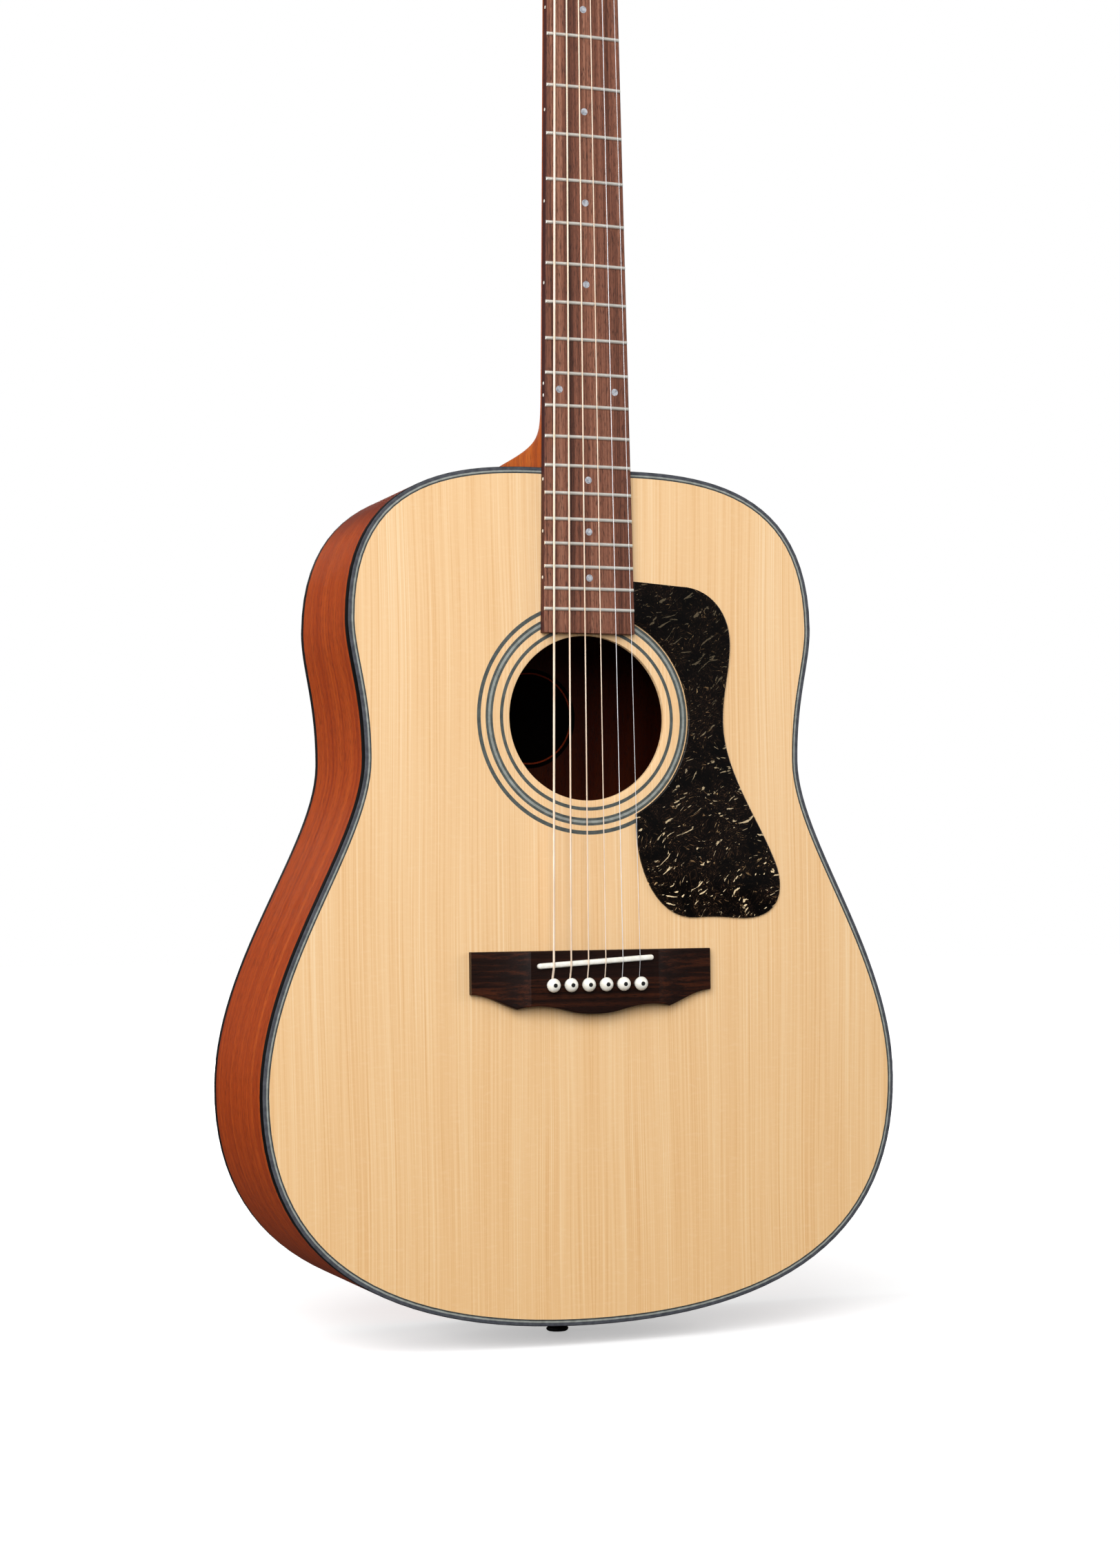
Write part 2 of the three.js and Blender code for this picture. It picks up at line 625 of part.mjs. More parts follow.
function housing(side) {
  const face = HEAD_THICK + GAP;
  const sorted = [-side * HOUSING.inner, side * HOUSING.outer].sort((a, b) => a - b);
  const shape = new THREE.Shape();
  const [x0, x1] = sorted;
  const r = 4; // corner radius
  const low = -HOUSING.low;
  shape
    .absarc(x1 - r, low + r, r, -Math.PI / 2, 0)
    .absarc(x1 - r, HOUSING.high - r, r, 0, Math.PI / 2)
    .absarc(x0 + r, HOUSING.high - r, r, Math.PI / 2, Math.PI)
    .absarc(x0 + r, low + r, r, Math.PI, 1.5 * Math.PI);
  const along = new THREE.CylinderGeometry(WORM.radius + FIT, WORM.radius + FIT, 30, 10)
    .rotateZ(Math.PI / 2)
    .translate(side * 9, WORM.y, -WORM.drop);
  const nutFace = -HEADPLATE - GAP;
  return solid(slab(shape, level(face), level(HOUSING.back), 3))
    .add(solid(rod(BARREL_RADIUS, nutFace - 1, face + 1, 0, 0)))
    .add(solid(rod(6.2, nutFace - 3.4, nutFace, 0, 0, 6)))
    .subtract(solid(rod(POST_RADIUS + FIT, -20, GEAR.low, 0, 0)))
    .subtract(solid(rod(GEAR.radius + FIT, GEAR.low - FIT, GEAR.high + FIT, 0, 0, 16)))
    .subtract(solid(along));
}

function post() {
  const profile = [
    [0, -22],
    [2.4, -22],
    [POST_RADIUS, -21],
    [POST_RADIUS, -17],
    [2.4, -15],
    [2.4, -10.5],
    [POST_RADIUS, -8.5],
    [POST_RADIUS, GEAR.low],
    [GEAR.radius, GEAR.low],
    [GEAR.radius, GEAR.high],
    [0, GEAR.high],
  ];
  const eye = new THREE.CylinderGeometry(0.9, 0.9, 12, 6).rotateX(Math.PI / 2).translate(0, STRING_LEVEL - 3, 0);
  return solid(turned(profile, 12)).subtract(solid(eye));
}

// Worm, shaft and button in one, turning about the x axis.
function button(side) {
  const profile = [
    [0, -5.5],
    [WORM.radius, -5.5],
    [WORM.radius, HOUSING.outer + 2],
    [3.6, HOUSING.outer + 2],
    [3.6, HOUSING.outer + 6.5],
    [2, HOUSING.outer + 7.5],
    [2, HOUSING.outer + 12],
    [0, HOUSING.outer + 12],
  ];
  const knobShape = new THREE.Shape()
    .moveTo(8.5, -3.5)
    .bezierCurveTo(9.5, -9.5, 22, -11.5, 23.5, -5)
    .bezierCurveTo(24, -2, 24, 2, 23.5, 5)
    .bezierCurveTo(22, 11.5, 9.5, 9.5, 8.5, 3.5);
  const knob = new THREE.ExtrudeGeometry(knobShape, {
    depth: 4,
    curveSegments: 5,
    bevelThickness: 1.6,
    bevelSize: 1.4,
    bevelOffset: -1.4,
    bevelSegments: 1,
  }).translate(HOUSING.outer, 0, -2);
  const made = solid(turned(profile, 12).rotateZ(-Math.PI / 2)).add(solid(knob));
  return side > 0 ? made : made.rotate([0, 180, 0]);
}

function addHead() {
  const plate = solid(slab(headShape(0.3), level(-HEADPLATE), level(-GAP), 6));
  add("headplate", machineHoles(plate), DARK_ROSEWOOD, head);

  const turnedPost = post();
  const housings = new Map(SIDES.map((side) => [side, housing(side)]));
  const buttons = new Map(SIDES.map((side) => [side, button(side)]));
  MACHINES.forEach(({ n, side, x, z }) => {
    add(`tuner_housing_${n}`, housings.get(side), NICKEL, head).position.set(x, 0, z);
    add(`tuner_post_${n}`, turnedPost, NICKEL, head).position.set(x, 0, z);
    add(`tuner_button_${n}`, buttons.get(side), NICKEL, head).position.set(x, WORM.y, z - WORM.drop);
  });
}

// ---------------------------------------------------------------- strings

// Each string runs from its ball end under the bridge plate, up its pin's groove, over the saddle,
// along the neck, through its slot in the nut and across to the inner side of its post.
const BALL_RADIUS = 1.9;

function addStrings() {
  const plateBack = PLATE + GAP + 3;
  STRINGS.forEach((n) => {
    const r = STRING_RADII[n - 1];
    const { side, x, z } = MACHINES[n - 1];
    const grooveZ = PIN_Z + 2.05;
    const ballZ = PIN_Z + PIN_HOLE_RADIUS + BALL_RADIUS;
    const saddleX = SADDLE_SPAN / 2 - ((n - 1) * SADDLE_SPAN) / 5;
    const saddleZ = SADDLE_Z + saddleX * Math.tan(SADDLE_SLANT);
    const saddleTop = -BRIDGE_HEIGHT - SADDLE_RISE - GAP - r;
    const nutTop = NUT_TOP - GAP - r;
    const barrel = POST_RADIUS + r + FIT;
    const end = new THREE.Vector3(x - side * barrel, STRING_LEVEL + 0.6, z - 1).applyMatrix4(head.matrix);
    const corners = [
      new THREE.Vector3(pinX(n), plateBack + GAP + BALL_RADIUS, ballZ - 0.5),
      new THREE.Vector3(pinX(n), plateBack + 1.2, grooveZ),
      new THREE.Vector3(pinX(n), -BRIDGE_HEIGHT - 0.4, grooveZ),
      new THREE.Vector3(pinX(n), -BRIDGE_HEIGHT - r - 0.55, grooveZ + 1.3),
      new THREE.Vector3(saddleX, saddleTop, saddleZ - 1.7),
      new THREE.Vector3(saddleX, saddleTop, saddleZ + 1.7),
      new THREE.Vector3(nutX(n), nutTop, NUT_Z),
      new THREE.Vector3(nutX(n), nutTop, NUT_Z + NUT_THICK),
      end,
    ];
    const path = new CornerPath(corners);
    const section = new THREE.Shape().absarc(0, 0, r, 0, 2 * Math.PI);
    const wire = new THREE.ExtrudeGeometry(section, {
      extrudePath: path,
      steps: corners.length - 1,
      curveSegments: 3,
    });
    const ballEnd = new THREE.CylinderGeometry(BALL_RADIUS, BALL_RADIUS, 3.6, 8)
      .rotateZ(Math.PI / 2)
      .translate(pinX(n), plateBack + GAP + BALL_RADIUS, ballZ);
    add(`string_${n}`, solid(wire).add(solid(ballEnd)), n > 2 ? BRONZE : STEEL);
  });
}

// ---------------------------------------------------------------- strap button

function addStrapButton() {
  const profile = [
    [0, -26],
    [4, -26],
    [4, 0.4],
    [4.6, 2.5],
    [3.8, 5],
    [4.2, 7.5],
    [6.7, 9.8],
    [6.7, BUTTON_RISE - 1.2],
    [5.6, BUTTON_RISE],
    [0, BUTTON_RISE],
  ];
  const made = turned(profile, 16).rotateX(-Math.PI / 2).translate(0, DEPTH_TAIL / 2, 0);
  add("strap_button", made, BLACK_PLASTIC);
}

addBox();
addBlocks();
addBraces();
addBridge();
addPins();
addPickguard();
addNeck();
addFretboard();
addHead();
addStrings();
addStrapButton();

const part = new THREE.Group();
part.add(guitar);

export default part;
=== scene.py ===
import math

import bmesh
import bpy
from mathutils import Matrix, Vector
from mathutils.geometry import tessellate_polygon


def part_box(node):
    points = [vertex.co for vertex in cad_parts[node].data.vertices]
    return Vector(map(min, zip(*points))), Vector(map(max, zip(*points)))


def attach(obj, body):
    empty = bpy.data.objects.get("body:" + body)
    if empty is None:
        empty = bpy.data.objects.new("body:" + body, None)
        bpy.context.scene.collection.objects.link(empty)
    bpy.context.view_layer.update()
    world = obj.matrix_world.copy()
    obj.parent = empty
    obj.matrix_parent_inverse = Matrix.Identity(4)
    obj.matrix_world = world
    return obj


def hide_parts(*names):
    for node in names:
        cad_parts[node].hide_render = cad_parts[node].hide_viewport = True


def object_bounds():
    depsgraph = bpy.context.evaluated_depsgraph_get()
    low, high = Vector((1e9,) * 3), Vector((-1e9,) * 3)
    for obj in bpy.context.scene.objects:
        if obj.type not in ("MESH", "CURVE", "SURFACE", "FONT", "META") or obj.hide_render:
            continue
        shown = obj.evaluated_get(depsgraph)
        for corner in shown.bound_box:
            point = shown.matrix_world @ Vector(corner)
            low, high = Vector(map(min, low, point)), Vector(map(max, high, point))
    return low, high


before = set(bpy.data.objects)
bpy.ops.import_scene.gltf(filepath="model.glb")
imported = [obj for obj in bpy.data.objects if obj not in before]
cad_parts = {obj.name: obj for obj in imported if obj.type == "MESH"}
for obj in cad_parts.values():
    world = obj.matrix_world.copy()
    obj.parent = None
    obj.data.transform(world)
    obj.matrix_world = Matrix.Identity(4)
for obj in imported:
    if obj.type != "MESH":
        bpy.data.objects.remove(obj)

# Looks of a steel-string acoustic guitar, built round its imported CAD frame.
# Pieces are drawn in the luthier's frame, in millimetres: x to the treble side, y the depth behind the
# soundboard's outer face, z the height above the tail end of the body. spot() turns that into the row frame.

cad_low, cad_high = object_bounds()
scene = bpy.context.scene

MM = 0.001
binding_low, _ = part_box("top_binding")
FRONT = binding_low.y  # the soundboard's outer face, in the row frame
TAIL = binding_low.z  # the tail end of the body


def spot(x, y, z):
    return Vector((x * MM, FRONT + y * MM, TAIL + z * MM))

# --- driving dimensions (mm)

GAP = 0.1  # glue line between touching pieces
FIT = 0.3  # clearance round pieces that slide or turn
BODY_LENGTH = 502
UPPER_BOUT, UPPER_BOUT_Z = 292, 411
WAIST, WAIST_Z = 273, 330.5
LOWER_BOUT, LOWER_BOUT_Z = 396, 139
DEPTH_NECK, DEPTH_TAIL = 98, 124
PLATE = 3  # thickness of soundboard and back
SIDE = 2.2  # thickness of the sides, and width of the binding
BINDING_HEIGHT = 6.5
PURFLING = [0.95, 0.85]  # widths of the pale and the dark line inside the binding
PURFLING_DEPTH = 1.5

SCALE = 647.7
FRETS = 20
JOINT_FRET = 14
BOARD = 6
BOARD_CAMBER = 1
NUT_WIDTH = 43
WIDTH_AT_12 = 53.4
FRET_HEIGHT = 1.1
FRET_WIDTH = 2.1
NUT_THICK = 5

HOLE_RADIUS = 48.6
HOLE_Z = 355
BOARD_END_Z = HOLE_Z + HOLE_RADIUS + 0.9
ROSETTE = [(52.6, 54.6), (59.0, 63.4), (66.4, 68.7)]  # inner and outer radius of each ring
ROSETTE_DEPTH = 1.2
LABEL_Z = 361
LABEL_RADIUS = 31

BRIDGE_HALF = 75
BRIDGE_TOP_Z = 218.6
BRIDGE_HEIGHT = 8.5
SADDLE_LENGTH = 72.6
SADDLE_WIDTH = 3.2
SADDLE_SLANT = math.radians(3.3)
SADDLE_RISE = 2.6
SADDLE_FOOT = 3  # how far in front of the soundboard the saddle's slot ends
COMPENSATION = 2.6
PIN_Z = 198.7
PIN_SPAN = 54.7
SADDLE_SPAN = 54.2
NUT_SPAN = 35.6
PIN_HOLE_RADIUS = 3
PIN_SEAT = -BRIDGE_HEIGHT - 2.4  # where a pin's head begins
BALL_RADIUS = 1.9

HEAD_TILT = math.radians(14)
HEAD_THICK = 14
HEADPLATE = 2
HEAD_LENGTH = 184
POST_HEIGHTS = [38, 78, 118]
POST_X = [20.5, 21.5, 22.5]
POST_RADIUS = 2.9
BARREL_RADIUS = 4.9
WINDING_START, WINDING_RADIUS = -10.7, 2.42  # where a string meets the waist of its post
STRING_RADII = [0.15, 0.2, 0.3, 0.4, 0.53, 0.67]
STRINGS = range(1, 7)

BUTTON_RISE = 12  # how far the strap button stands out below the tail
PEG_RADIUS = 4  # of the strap button's peg, inside the tail block

JOINT_FRET_Z = BODY_LENGTH + 1


def fret_distance(n):
    return SCALE * (1 - 2 ** (-n / 12))


NUT_Z = JOINT_FRET_Z + fret_distance(JOINT_FRET)
SADDLE_Z = NUT_Z - SCALE - COMPENSATION
NUT_TOP = -BOARD - FRET_HEIGHT - 0.4  # bottom of the nut's slots


def board_width(z):
    return NUT_WIDTH + (WIDTH_AT_12 - NUT_WIDTH) * (NUT_Z - z) / fret_distance(12)


def depth_at(z):
    return DEPTH_NECK + (DEPTH_TAIL - DEPTH_NECK) * (1 - z / BODY_LENGTH)


def shared_out(span, n):
    """Where string n crosses a row of six that spans a width, from the first on the treble side."""
    return span / 2 - (n - 1) * span / 5


# The head's own frame: y = 0 on its wood face, z up the head from the nut.
HEAD = Matrix.Translation((0, -1, NUT_Z + NUT_THICK)) @ Matrix.Rotation(-HEAD_TILT, 4, "X")
SADDLE_FRAME = Matrix.Translation((0, 0, SADDLE_Z)) @ Matrix.Rotation(-SADDLE_SLANT, 4, "Y")
STILL = Matrix.Identity(4)

# --- camera

LENS = 63.32
CAMERA_PLACE = (-0.5861, -1.5740, 0.2652)
CAMERA_TURN = math.radians(-20.603)
CAMERA_RISE = math.radians(2.228)
CAMERA_ROLL = math.radians(-0.626)

camera_data = bpy.data.cameras.new("camera")
camera_data.lens = LENS
camera_data.sensor_width = 36
camera = bpy.data.objects.new("camera", camera_data)
turn = Matrix.Rotation(CAMERA_TURN, 4, "Z")
rise = Matrix.Rotation(math.pi / 2 + CAMERA_RISE, 4, "X")
roll = Matrix.Rotation(CAMERA_ROLL, 4, "Z")
camera.matrix_world = Matrix.Translation(CAMERA_PLACE) @ turn @ rise @ roll
scene.collection.objects.link(camera)
scene.camera = camera

# --- node trees


def rgb(red, green, blue):
    """A colour as it shows on a screen, 0 to 255, as the linear values that nodes take."""
    shares = [c / 255 for c in (red, green, blue)]
    return tuple(s / 12.92 if s <= 0.04045 else ((s + 0.055) / 1.055) ** 2.4 for s in shares) + (1,)


def label(name):
    """The socket's label for a keyword: specular_ior_level is Specular IOR Level."""
    return name.replace("_", " ").title().replace("Ior", "IOR")


class Look:
    """A material round one Principled shader, the slot it is for, and short calls that add nodes to it."""

    def __init__(self, name, slot=None, **sockets):
        self.slot = slot
        self.material = bpy.data.materials.new(name)
        self.material.use_nodes = True
        self.nodes = self.material.node_tree.nodes
        self.shader = self.nodes["Principled BSDF"]
        for socket, value in sockets.items():
            self.shader.inputs[label(socket)].default_value = value

    def feed(self, socket, value):
        if isinstance(value, bpy.types.NodeSocket):
            self.material.node_tree.links.new(value, socket)
        else:
            socket.default_value = value

    def add(self, kind, settings=(), **inputs):
        node = self.nodes.new("ShaderNode" + kind)
        for name, value in dict(settings).items():
            setattr(node, name, value)
        for name, value in inputs.items():
            self.feed(node.inputs[label(name)], value)
        return node

    def join(self, kind, settings, *values, first=0):
        """A node whose inputs share one name, so that they are given in order."""
        node = self.add(kind, settings)
        for i, value in enumerate(values, first):
            self.feed(node.inputs[i], value)
        return node

    def place(self):
        return self.add("TexCoord").outputs["Object"]

    def part(self, vector, axis):
        return self.add("SeparateXYZ", Vector=vector).outputs[axis]

    def bookmatched(self):
        """The piece's own coordinates, mirrored about its centre line."""
        parts = self.add("SeparateXYZ", Vector=self.place()).outputs
        mirrored_x = self.math("ABSOLUTE", parts["X"])
        return self.add("CombineXYZ", X=mirrored_x, Y=parts["Y"], Z=parts["Z"]).outputs["Vector"]

    def bend(self):
        """Coordinates stored in the mesh, which follow a bent side."""
        return self.add("Attribute", {"attribute_name": "grain"}).outputs["Vector"]

    def facing(self, axis):
        """How far a face looks along one axis of its own piece, -1 to 1."""
        return self.part(self.add("TexCoord").outputs["Normal"], axis)

    def noise(self, vector, stretch=None, scale=1.0, detail=2.0, roughness=0.5, distortion=0.0):
        if stretch:
            vector = self.add("Mapping", Vector=vector, Scale=stretch).outputs["Vector"]
        inputs = {"Scale": scale, "Detail": detail, "Roughness": roughness, "Distortion": distortion}
        return self.add("TexNoise", Vector=vector, **inputs).outputs["Fac"]

    def math(self, operation, a, b=0.0):
        return self.join("Math", {"operation": operation}, a, b).outputs[0]

    def weighted(self, first, *others):
        """The sum of values that each come with a weight."""
        total = self.math("MULTIPLY", *first)
        for pair in others:
            total = self.math("ADD", total, self.math("MULTIPLY", *pair))
        return total

    def shifted(self, vector, by):
        return self.join("VectorMath", {"operation": "ADD"}, vector, by).outputs["Vector"]

    def blend(self, share, first, second, kind="MIX"):
        node = self.join("Mix", {"data_type": "RGBA", "blend_type": kind}, first, second, first=6)
        self.feed(node.inputs["Factor"], share)
        return node.outputs[2]

    def darkened(self, share, colour, tone):
        """A colour that is multiplied by a tone as far as a share says."""
        return self.blend(share, colour, self.blend(1.0, colour, tone, "MULTIPLY"))

    def ramp(self, share, *stops):
        node = self.add("ValToRGB", Fac=share)
        elements = node.color_ramp.elements
        while len(elements) < len(stops):
            elements.new(0.5)
        for element, (position, colour) in zip(elements, stops):
            element.position = position
            element.color = colour if isinstance(colour, tuple) else (colour, colour, colour, 1)
        return node.outputs["Color"]

    def two_tone(self, share, first, second):
        return self.ramp(share, (0.35, rgb(*first)), (0.65, rgb(*second)))

    def spread(self, share, low=0.0, high=1.0, **ends):
        """A share, from 0 to 1 or between other ends, turned into a value between two others."""
        return self.add("MapRange", Value=share, To_Min=low, To_Max=high, **ends).outputs["Result"]

    def finish(self, colour, share, rough, height=None, distance=0.01):
        """Feeds the shader its colour, a roughness that goes between two ends, and any bump."""
        self.feed(self.shader.inputs["Base Color"], colour)
        self.feed(self.shader.inputs["Roughness"], self.spread(share, *rough))
        if height:
            bump = self.add("Bump", Height=height, Distance=distance * MM, Strength=1.0)
            self.feed(self.shader.inputs["Normal"], bump.outputs["Normal"])
        return self


def along_axis(across, along, axis):
    """A scale for noise that runs along one axis: how often it changes across it and along it, per metre."""
    return tuple(along if name == axis else across for name in "XYZ")

# --- materials


def spruce_look():
    look = Look("spruce", "spruce_top", specular_ior_level=0.2)
    place = look.bookmatched()
    wander = look.noise(place, (9, 1, 3), detail=1)
    drift = look.add("CombineXYZ", X=look.math("MULTIPLY", wander, 0.012))
    grain = look.shifted(place, drift.outputs["Vector"])
    broad = look.noise(grain, (70, 1, 1.2))
    lines = look.noise(grain, (720, 1, 3), detail=3, roughness=0.75)
    fine = look.noise(grain, (1500, 1, 6))
    silk = look.noise(place, (160, 1, 520), distortion=0.6)
    tone = look.weighted((broad, 0.16), (lines, 0.5), (fine, 0.34))
    shades = rgb(229, 181, 126), rgb(239, 197, 146), rgb(243, 204, 155), rgb(249, 217, 174)
    wood = look.ramp(tone, *zip((0.36, 0.46, 0.54, 0.63), shades))
    # Painted shade: the spruce is darkened and warmed towards the tail, where less light falls.
    tail_shade = look.spread(look.part(place, "Z"), From_Min=TAIL + 0.32, From_Max=TAIL + 0.02)
    wood = look.darkened(tail_shade, wood, (0.95, 0.91, 0.83, 1))
    shimmer = look.ramp(silk, (0.52, 0.0), (0.74, 0.14))
    return look.finish(look.blend(shimmer, wood, rgb(250, 220, 178)), lines, (0.4, 0.55), tone, 0.02)


def pored_wood(name, slot, place, axis, tones, rough=(0.38, 0.52), streak=170, painted_shade=(), **sockets):
    """Wood with broad streaks and short dark pores along its grain. Faces that look one way can get a painted
    shade: the inner face of a back, the upward faces of the sides, and both edges of a fretboard."""
    look = Look(name, slot, **sockets)
    place = place(look)
    dark, middle, light = (rgb(*tone) for tone in tones)
    broad = look.noise(place, along_axis(streak * 0.2, 1.5, axis), detail=3, distortion=0.4)
    streaks = look.noise(place, along_axis(streak, 3.5, axis), detail=4, roughness=0.6)
    pores = look.noise(place, along_axis(2300, 190, axis), roughness=0.7)
    tone = look.weighted((broad, 0.4), (streaks, 0.6))
    wood = look.ramp(tone, (0.33, dark), (0.5, middle), (0.68, light))
    pore_share = look.ramp(pores, (0.32, 0.8), (0.49, 0.0))
    wood = look.blend(pore_share, wood, tuple(c * 0.35 for c in dark[:3]) + (1,))
    # Painted shade: faces that look along one axis are darkened by a tone.
    if painted_shade:
        seen_along, sign, shadow = painted_shade
        facing = look.facing(seen_along)
        facing = look.math("MULTIPLY", facing, sign) if sign else look.math("ABSOLUTE", facing)
        wood = look.darkened(look.ramp(facing, (0.5, 0.0), (0.75, 1.0)), wood, shadow)
    height = look.math("SUBTRACT", look.math("MULTIPLY", streaks, 0.3), pore_share)
    return look.finish(wood, streaks, rough, height, 0.05)


def dashes(look, place, turned, across, along, low, high):
    """A share of 1 on short curved dashes that lie along one way, and 0 between them."""
    place = look.add("Mapping", Vector=place, Rotation=(0, math.radians(turned), 0)).outputs["Vector"]
    field = look.noise(place, (across, 1, along), detail=3, roughness=0.6, distortion=0.35)
    return look.ramp(field, (low, 0.0), (high, 1.0))


def tortoise_look():
    """Black celluloid with brown swirls, small tan flecks and a few long cream ones."""
    look = Look("tortoise", "tortoise", specular_ior_level=0.2)
    place = look.place()
    eddies = look.add("TexNoise", Vector=place, Scale=46.0, Detail=1.0).outputs["Color"]
    curl = look.add("VectorMath", {"operation": "SCALE"}, Vector=eddies, Scale=0.02)
    bent = look.shifted(place, curl.outputs["Vector"])
    clouds = look.noise(place, scale=60, distortion=0.8)
    lower = look.spread(look.part(place, "Z"), From_Min=TAIL + 0.36, From_Max=TAIL + 0.25)
    crowd = look.math("MULTIPLY", look.ramp(clouds, (0.4, 0.15), (0.56, 1.0)), look.spread(lower, 0.6, 1.0))
    tint = look.blend(look.ramp(clouds, (0.35, 0.0), (0.65, 0.5)), rgb(3, 2, 2), rgb(18, 11, 8))
    layers = [
        (30, 1900, 360, 0.57, 0.69, 0.5, rgb(84, 60, 42)),
        (-55, 1700, 330, 0.58, 0.69, 0.55, rgb(104, 76, 54)),
        (80, 950, 240, 0.65, 0.68, 0.9, rgb(158, 124, 86)),
        (-20, 800, 200, 0.67, 0.695, 0.95, rgb(206, 172, 124)),
    ]
    for *dash, strength, colour in layers:
        share = look.math("MULTIPLY", dashes(look, bent, *dash), crowd)
        tint = look.blend(look.math("MULTIPLY", share, strength), tint, colour)
    large = dashes(look, bent, -62, 420, 110, 0.625, 0.635)
    large = look.math("MULTIPLY", large, look.spread(lower, 0.1, 1.0))
    return look.finish(look.blend(large, tint, rgb(244, 218, 174)), clouds, (0.12, 0.2))


def smooth_look(name, first, second, rough, slot="black_plastic", scale=260, front=None, **sockets):
    """Plastic, bone, shell or paper: two close tones in soft clouds, and a fine unevenness. Faces that look
    forwards can have two tones of their own, a painted sheen."""
    look = Look(name, slot, **sockets)
    clouds = look.noise(look.place(), scale=scale, detail=4, roughness=0.6)
    colour = look.two_tone(clouds, first, second)
    # Painted sheen: faces that look forwards get lighter tones of their own.
    if front:
        forwards = look.math("MULTIPLY", look.facing("Y"), -1.0)
        share = look.ramp(forwards, (0.5, 0.0), (0.85, 1.0))
        colour = look.blend(share, colour, look.two_tone(clouds, *front))
    return look.finish(colour, clouds, rough, clouds)


def metal_look(name, first, second, rough, slot="nickel", brushed=(900, 900, 900), metallic=1.0):
    look = Look(name, slot, metallic=metallic)
    place = look.place()
    marks = look.noise(place, brushed, detail=3, roughness=0.7)
    haze = look.noise(place, scale=90, detail=3)
    return look.finish(look.two_tone(haze, first, second), marks, rough, marks, 0.004)


def wound_look():
    """Bronze wire wrapped round a core: turns across the string, seen as fine ridges."""
    look = Look("wound_bronze", "bronze_string", metallic=0.35)
    place = look.place()
    turns = look.add("TexWave", {"bands_direction": "Z"}, Vector=place, Scale=620.0).outputs["Fac"]
    haze = look.noise(place, scale=40, detail=3)
    colour = look.two_tone(haze, (232, 206, 180), (246, 226, 206))
    return look.finish(colour, turns, (0.4, 0.5), turns, 0.02)


BODY_TONES = (140, 46, 10), (168, 66, 16), (190, 86, 28)
NECK_TONES = (152, 62, 14), (186, 88, 24), (208, 114, 42)
BOARD_TONES = (62, 34, 26), (126, 78, 60), (170, 120, 96)
BRIDGE_TONES = (18, 9, 7), (32, 15, 10), (78, 38, 20)
HEAD_TONES = (34, 21, 18), (56, 33, 26), (86, 50, 37)
BRACE_TONES = (190, 150, 100), (214, 178, 126), (232, 203, 156)

SPRUCE = spruce_look()
# Painted shade: the back's inner face, seen through the sound hole, is darkened almost to black.
BACK_WOOD = pored_wood(
    "mahogany_back", "mahogany_body", Look.bookmatched, "Z", BODY_TONES,
    painted_shade=("Y", -1.0, (0.1, 0.09, 0.09, 1)), specular_ior_level=0.1,
)
# Painted shade: faces of the sides that look upwards, on the shoulders, are darkened.
SIDE_WOOD = pored_wood(
    "mahogany_sides", "mahogany_body", Look.bend, "X", BODY_TONES, streak=330,
    painted_shade=("Z", 1.0, (0.5, 0.42, 0.42, 1)), specular_ior_level=0.07,
)
NECK_WOOD = pored_wood("mahogany_neck", "mahogany_neck", Look.place, "Z", NECK_TONES, specular_ior_level=0.1)
# Painted shade: both edges of the board are darkened to a dark burgundy.
BOARD_WOOD = pored_wood(
    "rosewood_board", "fretboard_rosewood", Look.place, "Z", BOARD_TONES, (0.45, 0.6), 760,
    painted_shade=("X", 0.0, (0.3, 0.15, 0.19, 1)), specular_ior_level=0.2,
)
BRIDGE_WOOD = pored_wood(
    "rosewood_bridge", "bridge_rosewood", Look.place, "X", BRIDGE_TONES, (0.3, 0.42), 420,
    specular_ior_level=0.13,
)
HEAD_WOOD = pored_wood(
    "rosewood_head", "bridge_rosewood", Look.place, "Z", HEAD_TONES, (0.4, 0.52), 330,
    specular_ior_level=0.12,
)
BRACE_WOOD = pored_wood("brace_spruce", None, Look.place, "X", BRACE_TONES, (0.6, 0.75), 420)
TORTOISE = tortoise_look()
BLACK = smooth_look("black_plastic", (12, 12, 13), (22, 23, 25), (0.28, 0.4))
# Painted sheen: the black binding's forward faces get grey tones, as if catching the light.
BINDING = smooth_look(
    "binding", (3, 3, 4), (7, 7, 8), (0.3, 0.42), front=((66, 68, 74), (84, 86, 92)), specular_ior_level=0.03
)
PALE_LINE = smooth_look("pale_fibre", (132, 136, 130), (158, 162, 156), (0.4, 0.5))
DARK_LINE = smooth_look("dark_fibre", (44, 48, 48), (64, 69, 68), (0.4, 0.5))
GREY_LINE = smooth_look("grey_fibre", (66, 72, 70), (86, 92, 89), (0.4, 0.5))
# Painted shade: the label paper inside the body is nearly black, standing in for the dark inside.
PAPER_PAINTED_SHADE = smooth_look("label_paper_painted_shade", (5, 3, 3), (10, 6, 5), (0.8, 0.9), scale=700, specular_ior_level=0.0)
LABEL_RING = smooth_look(
    "label_ring", (112, 36, 12), (136, 48, 18), (0.7, 0.8), "bridge_rosewood", 700, specular_ior_level=0.1
)
BONE = smooth_look("bone", (240, 236, 222), (252, 250, 243), (0.25, 0.38), "bone", 400)
PEARL = smooth_look("pearl", (138, 142, 152), (206, 208, 214), (0.1, 0.2), "bone", 620, coat_weight=0.5)
NICKEL = metal_look("nickel", (206, 205, 200), (228, 227, 222), (0.16, 0.32))
FRET_METAL = metal_look(
    "fret_nickel", (236, 232, 222), (246, 243, 234), (0.3, 0.42), brushed=(2600, 300, 300), metallic=0.62
)
STEEL = metal_look(
    "plain_steel", (222, 222, 226), (240, 240, 243), (0.36, 0.46), "plain_string", metallic=0.45
)
BRONZE = wound_look()

# --- meshes


